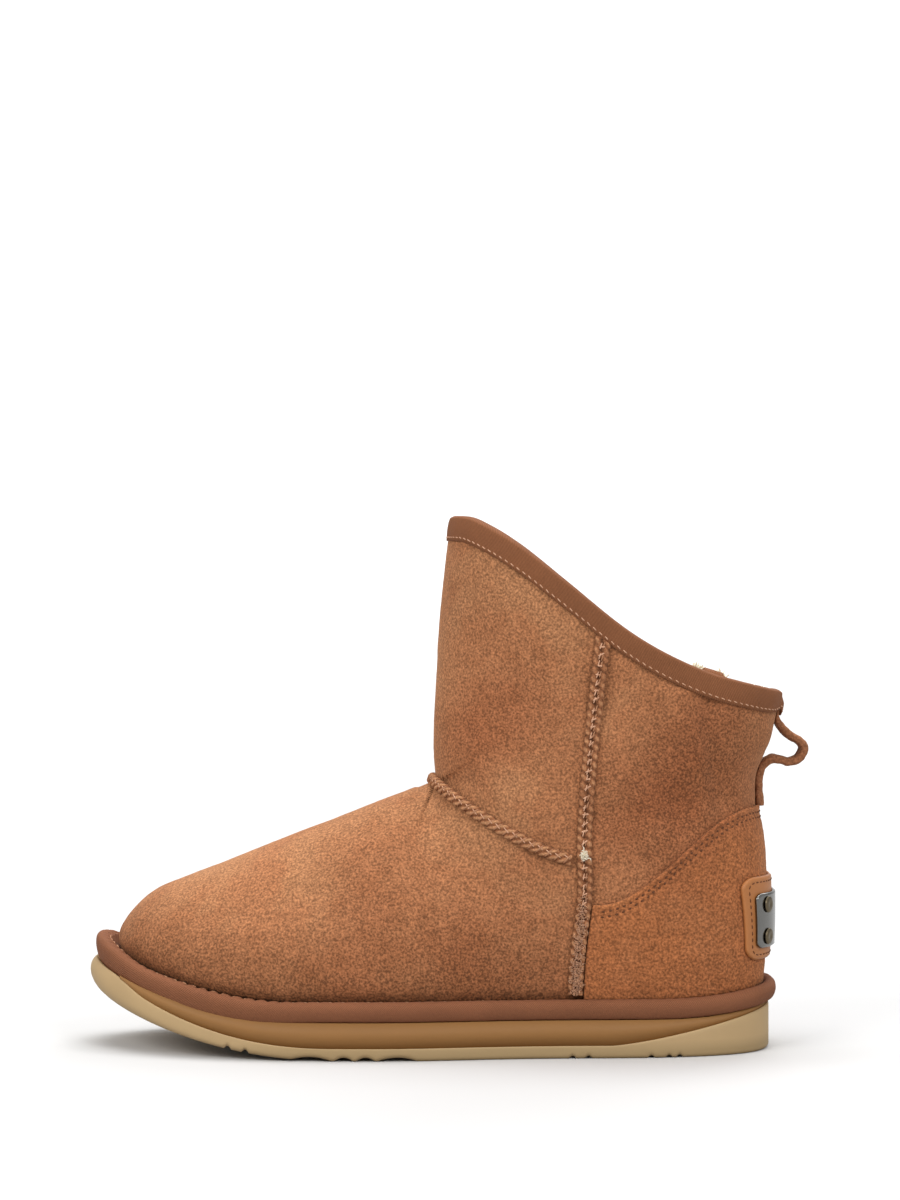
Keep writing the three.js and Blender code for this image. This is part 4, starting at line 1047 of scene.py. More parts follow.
counter_rows = 1 - (1 - np.linspace(0, 1, 110)) ** 1.15
counter_u, counter_t = counter_places(np.linspace(0, 1, 300), counter_rows)
counter_on = form_point(counter_u, counter_t)
below_top = counter_top(counter_on[..., 0]) - counter_on[..., 2]
soft_edge = rounded_edge(below_top + 0.15, 1.1)
dents = sum(0.35 * np.exp(-(((below_top * EDGE_SLOPE - down) / 0.8) ** 2)) for down, _ in HOLE_ROWS)
thick = (COUNTER_THICKNESS + 2 * fuzz(counter_on)) * soft_edge
far = on_counter(counter_u, counter_t, OVERLAY + thick - dents)
near = on_counter(counter_u, counter_t, OVERLAY - 0.3)
tone, warmth = hide_tones(counter_on, -1.0)
# Painted highlight: the tone is lighter along the counter's raised top edge; the tone from hide_tones carries
# its painted shade near the welt.
tones = {"tone": tone + 0.1 * np.exp(-((below_top / 1.5) ** 2)), "warmth": warmth}
add_sheet("counter", near, far, counter_suede, ["heel_counter"], tones)

# %% [markdown]
# ## Stitches and holes
# A stitch is a short thread that comes out of one hole and goes down the next. Threads are small
# tubes set along a line. Where the thread lies deep, a small dark disc stands for the hole: painted shade.

# %% Lines of stitches
def resample(line, outs, pitch):
    """Places at even distances along a line, with the ways across it, off it and along it."""
    gone = np.r_[0, np.cumsum(np.linalg.norm(np.diff(line, axis=0), axis=1))]
    at = np.arange(pitch / 2, gone[-1], pitch)
    on, out = (np.stack([np.interp(at, gone, v[:, k]) for k in range(3)], -1) for v in (line, outs))
    out, run = unit(out), unit(np.gradient(on, axis=0))
    return on, unit(np.cross(run, out)), out, run


def add_threads(name, places, aside, off, ahead, radius, material):
    """A thread at each place. Its points lie `aside` across the line, `off` it and `ahead`."""
    on, across, out, run = (way[:, None] for way in places)
    lines = on + across * aside + out * off + run * ahead
    return add_strands(name, lines, np.broadcast_to(out, lines.shape), radius, material)


def add_stitches(name, line, outs, pitch, share, radius, material, sink=0.0, skew=0.0):
    """Stitches of `share` of the pitch along a line: a low arch that starts and ends below the
    surface, each turned a little aside by `skew`."""
    places = resample(line, outs, pitch)
    s = np.linspace(-1, 1, 6)[None, :, None]
    arch = (1 - s**2) * radius * 1.3 - radius * 0.9 - sink
    aside = s * skew * (1 + rng.uniform(-0.3, 0.3, (len(places[0]), 1, 1)))
    return add_threads(name, places, aside, arch, s * pitch * share / 2, radius, material)


def counter_line(down):
    """A line that keeps the same distance below the counter's top edge."""
    last = 59
    u, t = counter_places(np.linspace(0.012, 0.988, 500), np.linspace(0, 1, last + 1))
    p = form_point(u, t)
    gap = (counter_top(p[..., 0]) - p[..., 2]) * EDGE_SLOPE
    row, k = np.argmin(np.abs(gap - down), axis=0), np.arange(gap.shape[1])
    after = np.minimum(row + 1, last)
    fall = np.where(row < last, gap[row, k] - gap[after, k], 1)
    share = np.clip((gap[row, k] - down) / fall, -1, 1)
    u, t = u[row, k] + share * (u[after, k] - u[row, k]), t[row, k]
    return on_counter(u, t, COUNTER_FAR - 0.33), form_frame(u, t)[1]


for k, (down, pitch) in enumerate(HOLE_ROWS):
    line, outs = counter_line(down)
    add_stitches(f"counter_stitch_{k}", line, outs, pitch, 0.62, 0.3, seam_suede, 0.12)
    line, outs = line[:-9], outs[:-9]
    # Painted shade: short dark stubs in the dark finish sit in the holes of each row.
    add_stitches(f"counter_hole_shade_{k}", line, outs, pitch, 0.26, 0.38, dark, 0.02)

# %% [markdown]
# ## The collar's tape
# A twill tape is folded over the rim and sewn down with one light row of stitches. Its section is a
# narrow U, carried around the collar, and the weave follows the tape by the UV map.

# %% The binding
WALL, BIND_AROUND, TAPE_CORNER = 3.0, 600, 4.2
BLOCK_START, BLOCK_END, BLOCK_HEIGHT = 107, 117, 1.7
bind_t = turns_of(BIND_AROUND)
rim = form_point(1.0, bind_t)
rim_up, rim_out = form_frame(1.0, bind_t)
rim_rise = unit(rim_up - np.sum(rim_up * rim_out, -1, keepdims=True) * rim_out)
per_u = np.linalg.norm(rim - form_point(1 - STEP, bind_t), axis=-1) / STEP
bind_near = OVERLAY + 0.1
bind_far = bind_near + TAPE_THICKNESS
over_strap = 1.3 * np.exp(-((rim[:, 1] / 8.2) ** 6)) * (rim[:, 0] > 100)
from_front = np.minimum(bind_t, 2 * np.pi - bind_t)
front_pull = 0.5 * np.exp(-((from_front / 0.4) ** 2))

def on_tape(down, distance):
    """A line around the collar, `down` from the rim. Outside, it stands over the pull strap."""
    lift = (over_strap * smooth(down / 5) - front_pull) * (distance > 0.5)
    return offset_point(1 - down / per_u, bind_t, distance + lift)


def over_rim(height, distance):
    pulled = distance - front_pull * (distance > 0.5)
    return rim + rim_rise * height + rim_out * pulled[:, None]


def tape_profile():
    """The tape's section from its lower outer edge over the rim to its inner edge, and back."""
    turn = np.linspace(0, np.pi, 13)
    middle, half = -WALL / 2, WALL / 2 + bind_far
    rises = 0.4 + (TAPE_THICKNESS + 0.2) * np.sin(turn)
    crown = [over_rim(rise, middle + half * math.cos(a)) for rise, a in zip(rises, turn)]
    downs = (BINDING_WIDTH, BINDING_WIDTH - 0.12, 7.2, 5.6, 4.0, 2.4, 1.0)
    bulge = (-0.55, 0.0, 0.02, 0.16, 0.22, 0.2, 0.1)
    outer = [on_tape(down, bind_far + out) for down, out in zip(downs, bulge)]
    inner = [on_tape(down, -WALL - bind_far - 0.1) for down in (1.0, 4.0, 7.0, 8.4)]
    back = [on_tape(8.4, 0.6 - WALL), on_tape(4.0, 0.6 - WALL), on_tape(4.0, bind_near - 0.5)]
    return [*outer, *crown, *inner, *back]


section = np.stack(tape_profile())
wobble = 0.12 * noise(section, 3.5, 21) + 0.05 * noise(section, 1.2, 22)
section = section + np.broadcast_to(rim_out, section.shape) * wobble[..., None]
corner = np.array([section[..., 0].min() + TAPE_CORNER, section[..., 2].max() - TAPE_CORNER])
past = np.stack([np.minimum(0, section[..., 0] - corner[0]), np.maximum(0, section[..., 2] - corner[1])], -1)
far_out = np.linalg.norm(past, axis=-1)
pull = np.minimum(1, TAPE_CORNER / np.maximum(far_out, 1e-6))
section[..., 0] += past[..., 0] * (pull - 1)
section[..., 2] += past[..., 1] * (pull - 1)
x, y, z = np.moveaxis(section, -1, 0)
raised = smooth((x - BLOCK_START) / 2) * smooth((BLOCK_END - x) / 2) * (y > 8)
section[..., 2] += BLOCK_HEIGHT * raised * smooth((z - rim[:, 2] + 4) / 4)
across_mm = np.cumsum(np.linalg.norm(np.diff(section, axis=0, prepend=section[:1]), axis=-1), axis=0)
along_mm = np.linalg.norm(np.diff([*rim, rim[0]], axis=0), axis=1)
along_mm = np.broadcast_to(np.r_[0, np.cumsum(along_mm)], (len(section) + 1, BIND_AROUND + 1))
tape_uv = np.stack([along_mm, np.pad(across_mm, ((0, 1), (0, 1)), mode="edge")], -1)
add_tube("collar_tape", section, tape, ["collar_binding"], uv=tape_uv, flip=True)
stitch_line = on_tape(BINDING_WIDTH - 1.4, bind_far + 0.05)
stitch_line, stitch_out = (np.stack([*line, line[0]]) for line in (stitch_line, rim_out))
add_stitches("collar_stitch", stitch_line, stitch_out, 2.9, 0.66, 0.21, thread, skew=0.2)

# %% [markdown]
# ## The raised seams
# Where two skins meet, their edges stand up and are overcast with thread. The side seam is a bead
# with two lips and threads across it, and the seam of the instep is closer to a rope, because its
# threads pull the leather in all round.

# %% Beads
def bead_rings(on, out, width, height, lips, pinch, pitch, lean, groove_shade, seed):
    """Rings across a line. The top follows half an ellipse, lowered in the middle by `lips` and
    drawn in at each thread by `pinch`, at places that lean along the line."""
    run = unit(np.gradient(on, axis=0))
    out = unit(out - np.sum(out * run, -1, keepdims=True) * run)
    across = np.cross(run, out)
    gone = np.r_[0, np.cumsum(np.linalg.norm(np.diff(on, axis=0), axis=1))]
    turn = turns_of(28)
    c, s = np.cos(turn)[None, :], np.sin(turn)[None, :]
    phase = 2 * np.pi * (gone[:, None] + lean * c * width / 2) / pitch
    drawn = (0.5 + 0.5 * np.cos(phase)) * pinch
    draw = 1 - drawn * (0.5 + 0.5 * np.cos(phase))
    valley = 1 - lips * np.exp(-((c / 0.38) ** 2))
    top = height * np.abs(s) ** 0.7 * valley * (1 + 0.5 * lips * c * np.sign(across[:, :1]))
    high = np.where(s > 0, top * draw, 0.5 * s) + OVERLAY
    wide = c * width / 2 * (1 - 0.5 * drawn)
    rings = on[:, None] + across[:, None] * wide[..., None] + out[:, None] * high[..., None]
    rough = 0.16 * noise(rings, 1.6, seed) + 0.1 * noise(rings, 0.8, seed + 1)
    # Painted shade: the tone is darker in the groove between the lips, on the low flanks where the bead meets
    # the hide, and where the threads pinch it in.
    tone = 0.68 - groove_shade * np.exp(-((c / 0.42) ** 2)) - 0.5 * (1 - np.clip(s, 0, 1)) ** 2
    tone = tone + 0.5 * (draw - 1) / max(pinch, 0.1)
    return rings + out[:, None] * (rough * (s > 0))[..., None], tone


def side_seam_line(side, count=420):
    front, _, back, _ = ring_ends(1.0)
    share = (seam_x(collar_at_seam) - front) / (back - front)
    rim_z = mix(COLLAR_FRONT_HEIGHT, COLLAR_BACK_HEIGHT, share) + COLLAR_DIP * collar_rise(share)
    low = edge_height(seam_x(SOLE_HEIGHT)) + 2.4
    z = np.linspace(low, rim_z - BINDING_WIDTH + 0.8, count)
    return side_frame(seam_x(z), z, side)


def add_bead(name, node, *bead):
    rings, tone = bead
    add_tube(name, rings, seam_suede, [node], tones={"tone": tone}, closed=False, flip=True)


SEAM_PITCH, TOP_SHEAR = 3.4, 0.62
s = np.linspace(-1, 1, 8)[None, :, None]
side_lines = {"outer": side_seam_line(-1.0), "inner": side_seam_line(1.0)}
for label, (on, out) in side_lines.items():
    rings, tone = bead_rings(on, out, SEAM_WIDTH, SEAM_THICKNESS, 0.55, 0.2, SEAM_PITCH, 0.5, 0.5, 31)
    behind = rings[..., 0] - on[:, None, 0]
    from_top = np.linspace(len(on), 0, len(on))[:, None] / 40
    rings[..., 2] -= TOP_SHEAR * behind * smooth(1 - from_top)
    rings += out[:, None] * (0.45 * noise(rings, 4.5, 33) * (behind > 0))[..., None]
    add_bead(f"side_seam_{label}_roll", f"side_seam_{label}", rings, tone)
    places = resample(on, out, SEAM_PITCH)
    count = (len(places[0]), 1, 1)
    arch = OVERLAY + SEAM_THICKNESS * (0.86 - 0.3 * np.exp(-((s / 0.5) ** 2))) - 0.9 * s**4
    arch = arch + rng.uniform(-0.35, 0.15, count)
    ahead = s * (0.5 + rng.uniform(-0.5, 0.5, count)) + rng.uniform(-0.6, 0.6, count)
    aside = s * rng.uniform(0.8, 1.6, count)
    add_threads(f"side_thread_{label}", places, aside, arch, ahead, 0.36, thread)
    for k, (beside, yarn) in enumerate(((-0.55, thread), (0.5, dark_thread))):
        high = OVERLAY + SEAM_THICKNESS * 0.72 + rng.uniform(-0.3, 0.25, count)
        ahead = s * SEAM_PITCH * 0.36 + rng.uniform(-0.8, 0.8, count)
        add_threads(f"side_chain_{label}_{k}", places, beside + 0.25 * s, high, ahead, 0.26, yarn)

# %% The seam over the instep
ROPE_STEPS, ROPE_WIDTH, ROPE_HEIGHT, ROPE_PITCH = 700, 5.0, 2.3, 3.6


def eased(line):
    """A line whose points are evened out over 31 neighbours."""
    kernel = np.hanning(31) / np.hanning(31).sum()
    wide = np.pad(line, ((15, 15), (0, 0)), mode="edge")
    return np.stack([np.convolve(column, kernel, mode="valid") for column in wide.T], -1)


last = 0.8 * np.pi
while form_point(find_u(np.array([last]), vamp_seam_z), np.array([last]))[0, 0] > VAMP_BACK:
    last -= 0.01
vamp_t = last * (1 - 2 * np.arange(ROPE_STEPS) / (ROPE_STEPS - 1))
vamp_u = find_u(vamp_t, vamp_seam_z)
vamp_on, vamp_out = form_point(vamp_u, vamp_t), form_frame(vamp_u, vamp_t)[1]
span = form_point(vamp_u + STEP, vamp_t) - form_point(vamp_u - STEP, vamp_t)
reach = 2.0 / (np.linalg.norm(span, axis=-1) / (2 * STEP))
beside = [form_point(vamp_u + way * reach, vamp_t) - vamp_on for way in (1, -1)]
over = np.maximum(0, np.max([np.sum(way * vamp_out, -1) for way in beside], axis=0))
at_front = np.exp(-(((vamp_on[:, 0] - VAMP_FRONT) / 9) ** 2))
vamp_on = vamp_on + vamp_out * (over * (1 - 0.6 * at_front))[:, None]
vamp_on, vamp_out = eased(vamp_on), unit(eased(vamp_out))
rope = bead_rings(vamp_on, vamp_out, ROPE_WIDTH, ROPE_HEIGHT, 0.12, 0.3, ROPE_PITCH, 1.2, 0.1, 35)
add_bead("vamp_seam_rope", "vamp_seam", *rope)
places = resample(vamp_on, vamp_out, ROPE_PITCH)
count = (len(places[0]), 1, 1)
arch = OVERLAY + ROPE_HEIGHT * (0.98 - 0.05 * np.exp(-((s / 0.4) ** 2))) - 1.5 * s**4
arch = arch + rng.uniform(-0.25, 0.1, count)
add_threads("vamp_thread", places, 2 * s, arch, rng.uniform(-0.3, 0.3, count) - s, 0.34, dark_thread)
high = OVERLAY + ROPE_HEIGHT * 0.9 + rng.uniform(-0.25, 0.1, count)
add_threads("vamp_chain", places, rng.uniform(0.2, 0.8, count) + 0.5 * s, high, 1.3 * s, 0.24, thread)


# %% Wool caught in the seams
def caught(line, heights, low, high, lift, spread):
    """Roots of locks at some heights of a seam's line, moved aside between low and high, and
    their ways out, which differ a little."""
    on, out = line
    pick = np.clip(np.searchsorted(on[:, 2], heights), 0, len(on) - 1)
    jitter = rng.uniform(low, high, (len(heights), 1)) * np.array([[1.0, 0, 0]])
    roots = on[pick] + out[pick] * (OVERLAY + lift) + jitter
    return roots, unit(out[pick] + rng.normal(0, spread, (len(heights), 3)))


for label, line in side_lines.items():
    roots = caught(line, 24 + 38 * rng.beta(1.0, 1.7, 420), -1.7, 1.7, 1.1, 0.5)
    add_locks(f"seam_wool_{label}", *roots, 1.7, 0.2, 0.8, seam_wool)
    roots = caught(line, rng.normal(77.5, 0.8, 80), -1.1, 0.8, 1.6, 0.6)
    add_locks(f"seam_tuft_{label}", *roots, 1.4, 0.22, 0.9)

# %% [markdown]
# ## Heel patch, plate and rivets
# The patch is smooth leather, so its edge is cut clean and its stitches show. The plate is thin
# polished metal bent around the heel, held by four rivets.

# %% Sheets on the heel
# Width, height, middle, thickness and corner of each sheet.
PATCH = (57.0, 32.0, 51.7, 1.5, 5.0)
PLATE = (45.0, 21.0, 50.9, 1.2, 2.4)
SPREAD = {PATCH: (0.87, 1.0), PLATE: (1.0, 1.08)}
PATCH_BASE = OVERLAY + COUNTER_THICKNESS + OVERLAY
PLATE_BASE = PATCH_BASE + PATCH[3] + 0.3


def spread_of(size, z):
    """How much wider a sheet is at a height than its table says: it narrows downwards."""
    low, high = SPREAD[size]
    return mix(low, high, (z - size[2]) / size[1] + 0.5)


def heel_grid(size, columns, rows):
    """A grid from behind with rounded corners: near the ends each column is shorter by the
    corner's circle."""
    width, height, middle, _, corner = size
    bent = corner * (1 - np.cos(np.linspace(0, np.pi / 2, 9)[:-1])) - width / 2
    straight = np.linspace(corner - width / 2, width / 2 - corner, columns - 16)
    y = np.concatenate([bent, straight, -bent[::-1]])
    past = np.maximum(0, np.abs(y) - (width / 2 - corner)) / corner
    high = height / 2 - corner * (1 - np.sqrt(np.maximum(0, 1 - past**2)))
    z = middle + high * np.linspace(-1, 1, rows)[:, None]
    return np.broadcast_to(y, z.shape), z, high


def add_heel_sheet(name, size, base, edge, material, slot, replaced, sag=0.0):
    """A sheet bent round the heel, `edge` its rounding. Its stitches pull it down by `sag`."""
    y, z, high = heel_grid(size, 90, 44)
    on, out = back_frame(y * spread_of(size, z), z)
    width, _, middle, thick, _ = size
    border = np.minimum(width / 2 - np.abs(y), high - np.abs(z - middle))
    face = base + thick * (0.55 + 0.45 * rounded_edge(border, edge))
    face = face - sag * np.exp(-(((border - 2.0) / 0.5) ** 2))
    return add_sheet(name, on + out * base, on + out * face[..., None], material, [replaced])


patch_look = (smooth_leather, "smooth_leather", "heel_patch")
add_heel_sheet("heel_patch_leather", PATCH, PATCH_BASE, 0.9, *patch_look, 0.12)
add_heel_sheet("heel_plate_bare", PLATE, PLATE_BASE, 0.5, steel, "steel", "heel_plate")


def heel_outline(size, inset, count=400):
    """A rounded rectangle inside a sheet's edge, as points and ways out."""
    width, height, middle, _, corner = size
    a, b, r = width / 2 - inset, height / 2 - inset, max(0.5, corner - inset)
    angle = np.linspace(0, 2 * np.pi, count)
    cx, cz = (a - r) * np.sign(np.cos(angle)), (b - r) * np.sign(np.sin(angle))
    reach = 1 / np.maximum(np.abs(np.cos(angle)) / a, np.abs(np.sin(angle)) / b)
    y, z = reach * np.cos(angle), reach * np.sin(angle)
    in_corner = (np.abs(y) > a - r) & (np.abs(z) > b - r)
    turn = np.arctan2(z - cz, y - cx)
    y = np.where(in_corner, cx + r * np.cos(turn), y)
    z = middle + np.where(in_corner, cz + r * np.sin(turn), z)
    return back_frame(y * spread_of(size, z), z)


on, out = heel_outline(PATCH, 2.0)
on = on + out * (PATCH_BASE + PATCH[3] - 0.05)
add_stitches("patch_stitch", on, out, 2.6, 0.66, 0.24, dark)

# %% Rivets
def rivet_rings(y, z):
    """A low dome turned round its own axis, with a small hollow in its middle."""
    seat, out = back_frame(np.array(y), np.array(z))
    base = PLATE_BASE + PLATE[3] + 0.3
    level = unit(np.cross(np.array([0, 0, 1.0]), out))
    up = np.cross(out, level)
    radius = np.array([3.0, 3.2, 3.18, 2.95, 2.5, 1.9, 1.3, 0.9, 0.5, 0.15])
    rise = np.array([-0.15, 0.0, 0.3, 0.55, 0.72, 0.8, 0.8, 0.72, 0.64, 0.62])
    turn = turns_of(40)
    ring = np.cos(turn)[:, None] * level + np.sin(turn)[:, None] * up
    return seat + ring[None] * radius[:, None, None] + out * (base + rise)[:, None, None]


RIVET_SIDE, RIVET_END = PLATE[0] / 2 - 4.6, PLATE[1] / 2 - 4.4
for label, y in (("outer", -RIVET_SIDE), ("inner", RIVET_SIDE)):
    for level, z in (("upper", PLATE[2] + RIVET_END), ("lower", PLATE[2] - RIVET_END)):
        name = f"rivet_{label}_{level}"
        rings = rivet_rings(y * spread_of(PLATE, z), z)
        add_tube(f"{name}_head", rings, brass, [name], closed=False)

# %% [markdown]
# ## The pull loop
# A strap of suede is folded out from the back between the tape and the counter. Its middle line
# is the S of the photograph, and its edges are raw, so they wander.

# %% The strap
LOOP_WIDTH, LOOP_THICKNESS, LOOP_REACH, LOOP_STEPS = 13.0, 3.2, 16.0, 150
loop_foot, loop_rim = COUNTER_BACK_HEIGHT - 0.3, COLLAR_BACK_HEIGHT - BINDING_WIDTH + 2.2
loop_flat = OVERLAY + LOOP_THICKNESS / 2
# The strap's middle line from the tape down: share of the way up, share of the way out.
FOLD_UP = [1, 0.92, 0.84, 0.745, 0.675, 0.6, 0.5, 0.455, 0.475, 0.485, 0.42, 0.3, 0.15, 0]
FOLD_OUT = [0, 0, 0.1, 0.38, 0.75, 0.98, 0.98, 0.75, 0.45, 0.2, 0.03, 0, 0, 0]


def spline(points, count):
    """A smooth line through points: the cubic of Catmull and Rom, at even distances."""
    p = np.concatenate([2 * points[:1] - points[1:2], points, 2 * points[-1:] - points[-2:-1]])
    s = np.linspace(0, len(points) - 1 - 1e-9, count * 8)
    i = s.astype(int)
    f = (s - i)[:, None]
    a, b, c, d = p[i], p[i + 1], p[i + 2], p[i + 3]
    line = 0.5 * (2 * b + (c - a) * f + (2 * a - 5 * b + 4 * c - d) * f**2 + (3 * b - a - 3 * c + d) * f**3)
    gone = np.r_[0, np.cumsum(np.linalg.norm(np.diff(line, axis=0), axis=1))]
    at = np.linspace(0, gone[-1], count)
    return np.stack([np.interp(at, gone, line[:, k]) for k in range(line.shape[1])], -1)


fold_z = mix(loop_foot, loop_rim, np.array(FOLD_UP))
fold_x = shaft_back(fold_z) + mix(loop_flat, LOOP_REACH, np.array(FOLD_OUT))
strap = spline(np.stack([fold_x, 0 * fold_x, fold_z], -1), LOOP_STEPS)
aside = np.array([0, 1.0, 0])
strap_out = np.cross(aside, unit(np.gradient(strap, axis=0)))[:, None]
c, s = np.cos(turns_of(40)), np.sin(turns_of(40))
wide = np.sign(c) * np.abs(c) ** 0.35 * (LOOP_WIDTH / 2 - 0.3)
thick = np.sign(s) * np.abs(s) ** 0.6 * (LOOP_THICKNESS / 2 + 0.05)
pressed = 0.42 + 0.58 * smooth(np.arange(LOOP_STEPS) / LOOP_STEPS / 0.14)
strap[:, 0] -= (1 - pressed) * (LOOP_THICKNESS / 2)
rings = strap[:, None] + strap_out * (thick * pressed[:, None])[..., None] + wide[:, None] * aside
rough = 0.22 * noise(rings, 2.2, 41) + 0.14 * noise(rings, 1.0, 42)
rings = rings + (c * np.abs(c) * rough)[..., None] * aside + strap_out * (s * rough)[..., None]
add_tube("pull_strap", rings, loop_suede, ["pull_loop"], closed=False)

# %% [markdown]
# ## The welt
# A cord covered in twill tape runs around the sole. It is a roll carried along the edge of the
# form, with its weave along the UV map. At the toe the sewing draws its upper edge into scallops.

# %% The roll
WELT_AROUND = 900
welt_t = turns_of(WELT_AROUND)
welt_start = OVERLAY + COUNTER_THICKNESS + OVERLAY
welt_low = WELT_STAND - WELT_HEIGHT
ROLL_TIP_RISE, ROLL_TIP_DROP, SCALLOP, SCALLOP_DEPTH = 2.6, 2.0, 4.9, 0.8
welt_reach = reach_of(*REACH_WELT)
roll_out = curve_of(range(8), [0.06, 0.3, 0.64, 0.9, 1, 0.92, 0.7, 0.36])
roll_up = curve_of(range(8), [0.94, 1, 0.95, 0.77, 0.5, 0.24, 0.06, 0])
edge_line = ring_at(welt_t, 4.0, above_edge(0))
edge_steps = np.linalg.norm(np.diff([*edge_line, edge_line[0]], axis=0), axis=1)
welt_mm = np.r_[0, np.cumsum(edge_steps)]


def welt_loop(at, inward=None):
    """One line along the roll: `at` from 0, beside the wall, over the top and outside, to 7."""
    share, up = roll_out(at), roll_up(at)
    scallop_pitch = welt_mm[-1] / round(welt_mm[-1] / SCALLOP)
    toe = smooth((along_x(0.42) - edge_line[:, 0]) / 60)
    pull = (1 - np.abs(np.sin(np.pi * welt_mm[:-1] / scallop_pitch))) ** 1.5 * (0.2 + 1.2 * toe)
    pull = pull * math.exp(-(((at - 0.7) / 0.95) ** 2))

    def distance(out):
        return mix(welt_start, welt_reach(out), share) - 0.35 * pull * (at < 1)

    loop = ring_at(welt_t, distance, above_edge(welt_low + WELT_HEIGHT * up))
    tip = ROLL_TIP_RISE * smooth((along_x(0.06) - edge_line[:, 0]) / 22)
    drop = ROLL_TIP_DROP * smooth((along_x(0.36) - edge_line[:, 0]) / 60) * (1 - up) ** 2
    loop[:, 2] += tip * min(1, 1.6 * up) - SCALLOP_DEPTH * pull - drop * (at > 2)
    return loop


flange = [
    ring_at(welt_t, -FLANGE, above_edge(welt_low)),
    ring_at(welt_t, -FLANGE, above_edge(-0.3)),
    ring_at(welt_t, welt_start, above_edge(-0.3)),
]
welt = np.stack([*flange, *[welt_loop(at) for at in np.linspace(0, 7, 29)]])
swell = 0.1 * noise(welt, 7.0, 51) + 0.05 * noise(welt, 2.0, 52)
welt[3:, :, 2] += swell[3:]
welt_across = np.cumsum(np.r_[0, np.linalg.norm(np.diff(welt[:, 0], axis=0), axis=1), 5.0])
welt_uv = np.stack(np.meshgrid(welt_mm, welt_across), -1)
add_tube("welt_tape_roll", welt, welt_tape, ["welt"], uv=welt_uv, flip=True)

# %% Threads of the welt
welt_seam = welt_loop(0.35)[np.arange(-250, 250)]
welt_seam_out = np.broadcast_to(np.array([0, 0, 1.0]), welt_seam.shape)
add_stitches("welt_stitch", welt_seam, welt_seam_out, SCALLOP, 0.55, 0.3, dark_thread, 0.1)

# %% [markdown]
# ## The sole
# The pale outsole climbs at the toe and at the heel, and the darker foam shows between it and the
# welt. The underside has round scallops and narrow notches, which are a height added to it, so no
# boolean cut is needed here.

# %% The outsole
# Place along the foot, width in millimetres, and depth as a share of GROOVE_DEPTH.
GROOVES = [
    (0.186, 2.6, 0.9),
    (0.213, 2.6, 0.9),
    (0.313, 15.2, 1.0),
    (0.361, 7.2, 1.0),
    (0.394, 7.2, 1.0),
    (0.441, 15.2, 1.0),
    (0.705, 2.6, 0.7),
    (0.729, 2.6, 0.7),
    (0.824, 2.6, 0.7),
    (0.851, 2.6, 0.7),
    (0.867, 2.6, 0.7),
]
GROOVE_DEPTH, SIDE_RADIUS, TOE_RADIUS, TIP_LEAN, FOAM_START = 1.4, 1.6, 6.0, 2.6, -127.0


def tread(x, y):
    """The underside with its grooves: each is an arch of (1 - s²) across its width."""
    z = underside(x, y)
    for along, wide, deep in GROOVES:
        s = np.clip((x - along_x(along)) / (wide / 2), -1, 1)
        arch = deep * GROOVE_DEPTH * (1 - s * s) * (np.abs(s) < 1)
        z = np.maximum(z, underside(x, -BALL_WIDTH + 0 * y) + arch)
    return z


sole_t = turns_of(900)
sole_reach = reach_of(*REACH_SOLE)


def foam_low(x):
    """The foam's lower line. Its wedge ends a little short of the tip, where the rubber fills it."""
    wrap = np.minimum(layer_top(x), wrap_height(x))
    return mix(layer_top(x), wrap, smooth((x - FOAM_START) / 14))


def to_toe(out):
    return np.maximum(0, -out[..., 0])


def sole_ring(inset, rise):
    """A ring of the rounded lower edge: `inset` and `rise` in shares of the radius, which grows
    from the side to the toe."""

    def radius(out):
        return SIDE_RADIUS + (TOE_RADIUS - SIDE_RADIUS) * to_toe(out) ** 2

    loop = ring_at(sole_t, lambda out: sole_reach(out) - inset * radius(out), tread)
    run = form_point(0.0, sole_t + STEP) - form_point(0.0, sole_t - STEP)
    facing = unit(np.stack([run[:, 1], -run[:, 0]], -1))
    loop[:, 2] += rise * radius(facing)
    return loop


def foam_line(drop=0.0):
    return lambda x, y: foam_low(x) - drop


def top_ring(lean, inset=0.0, drop=0.0):
    """A ring at the outsole's upper line. Its tip leans back by a share of TIP_LEAN."""

    def distance(out):
        return sole_reach(out) - TIP_LEAN * to_toe(out) ** 3 * lean - inset

    return ring_at(sole_t, distance, foam_line(drop))


lower = [drawn_in(sole_ring(1.0, 0.0), s, tread) for s in (0.02, 0.2, 0.4, 0.6, 0.75, 0.88, 0.96)]
bends = np.linspace(0, np.pi / 2, 6)
round_part = [sole_ring(1 - math.sin(a), 1 - math.cos(a)) for a in bends]
wall_part = []
for s in (0.2, 0.4, 0.6, 0.8, 0.93):
    ring = top_ring(s * s)
    ring[:, 2] = mix(round_part[-1][:, 2], ring[:, 2], s)
    wall_part.append(ring)
inner_lip = top_ring(1.0, 1.1, 0.35)
upper_part = [drawn_in(inner_lip, s, foam_line(0.35)) for s in (0.8, 0.4, 0.02)]
outsole = [*lower, *round_part, *wall_part, top_ring(1.0, 0.25), inner_lip, *upper_part]
add_tube("outsole_rubber", np.stack(outsole), rubber, ["outsole"], closed=False)


# %% The midsole
def station_edge(x, side, reach):
    """The layer's edge at a place along the foot."""

    def edge(turn):
        return ring_at(-side * turn, reach, lambda a, b: 0 * a)

    front, back = np.zeros(x.shape), np.full(x.shape, np.pi)
    return edge(halve(front, back, lambda turn: edge(turn)[..., 0] < x))[..., 1]


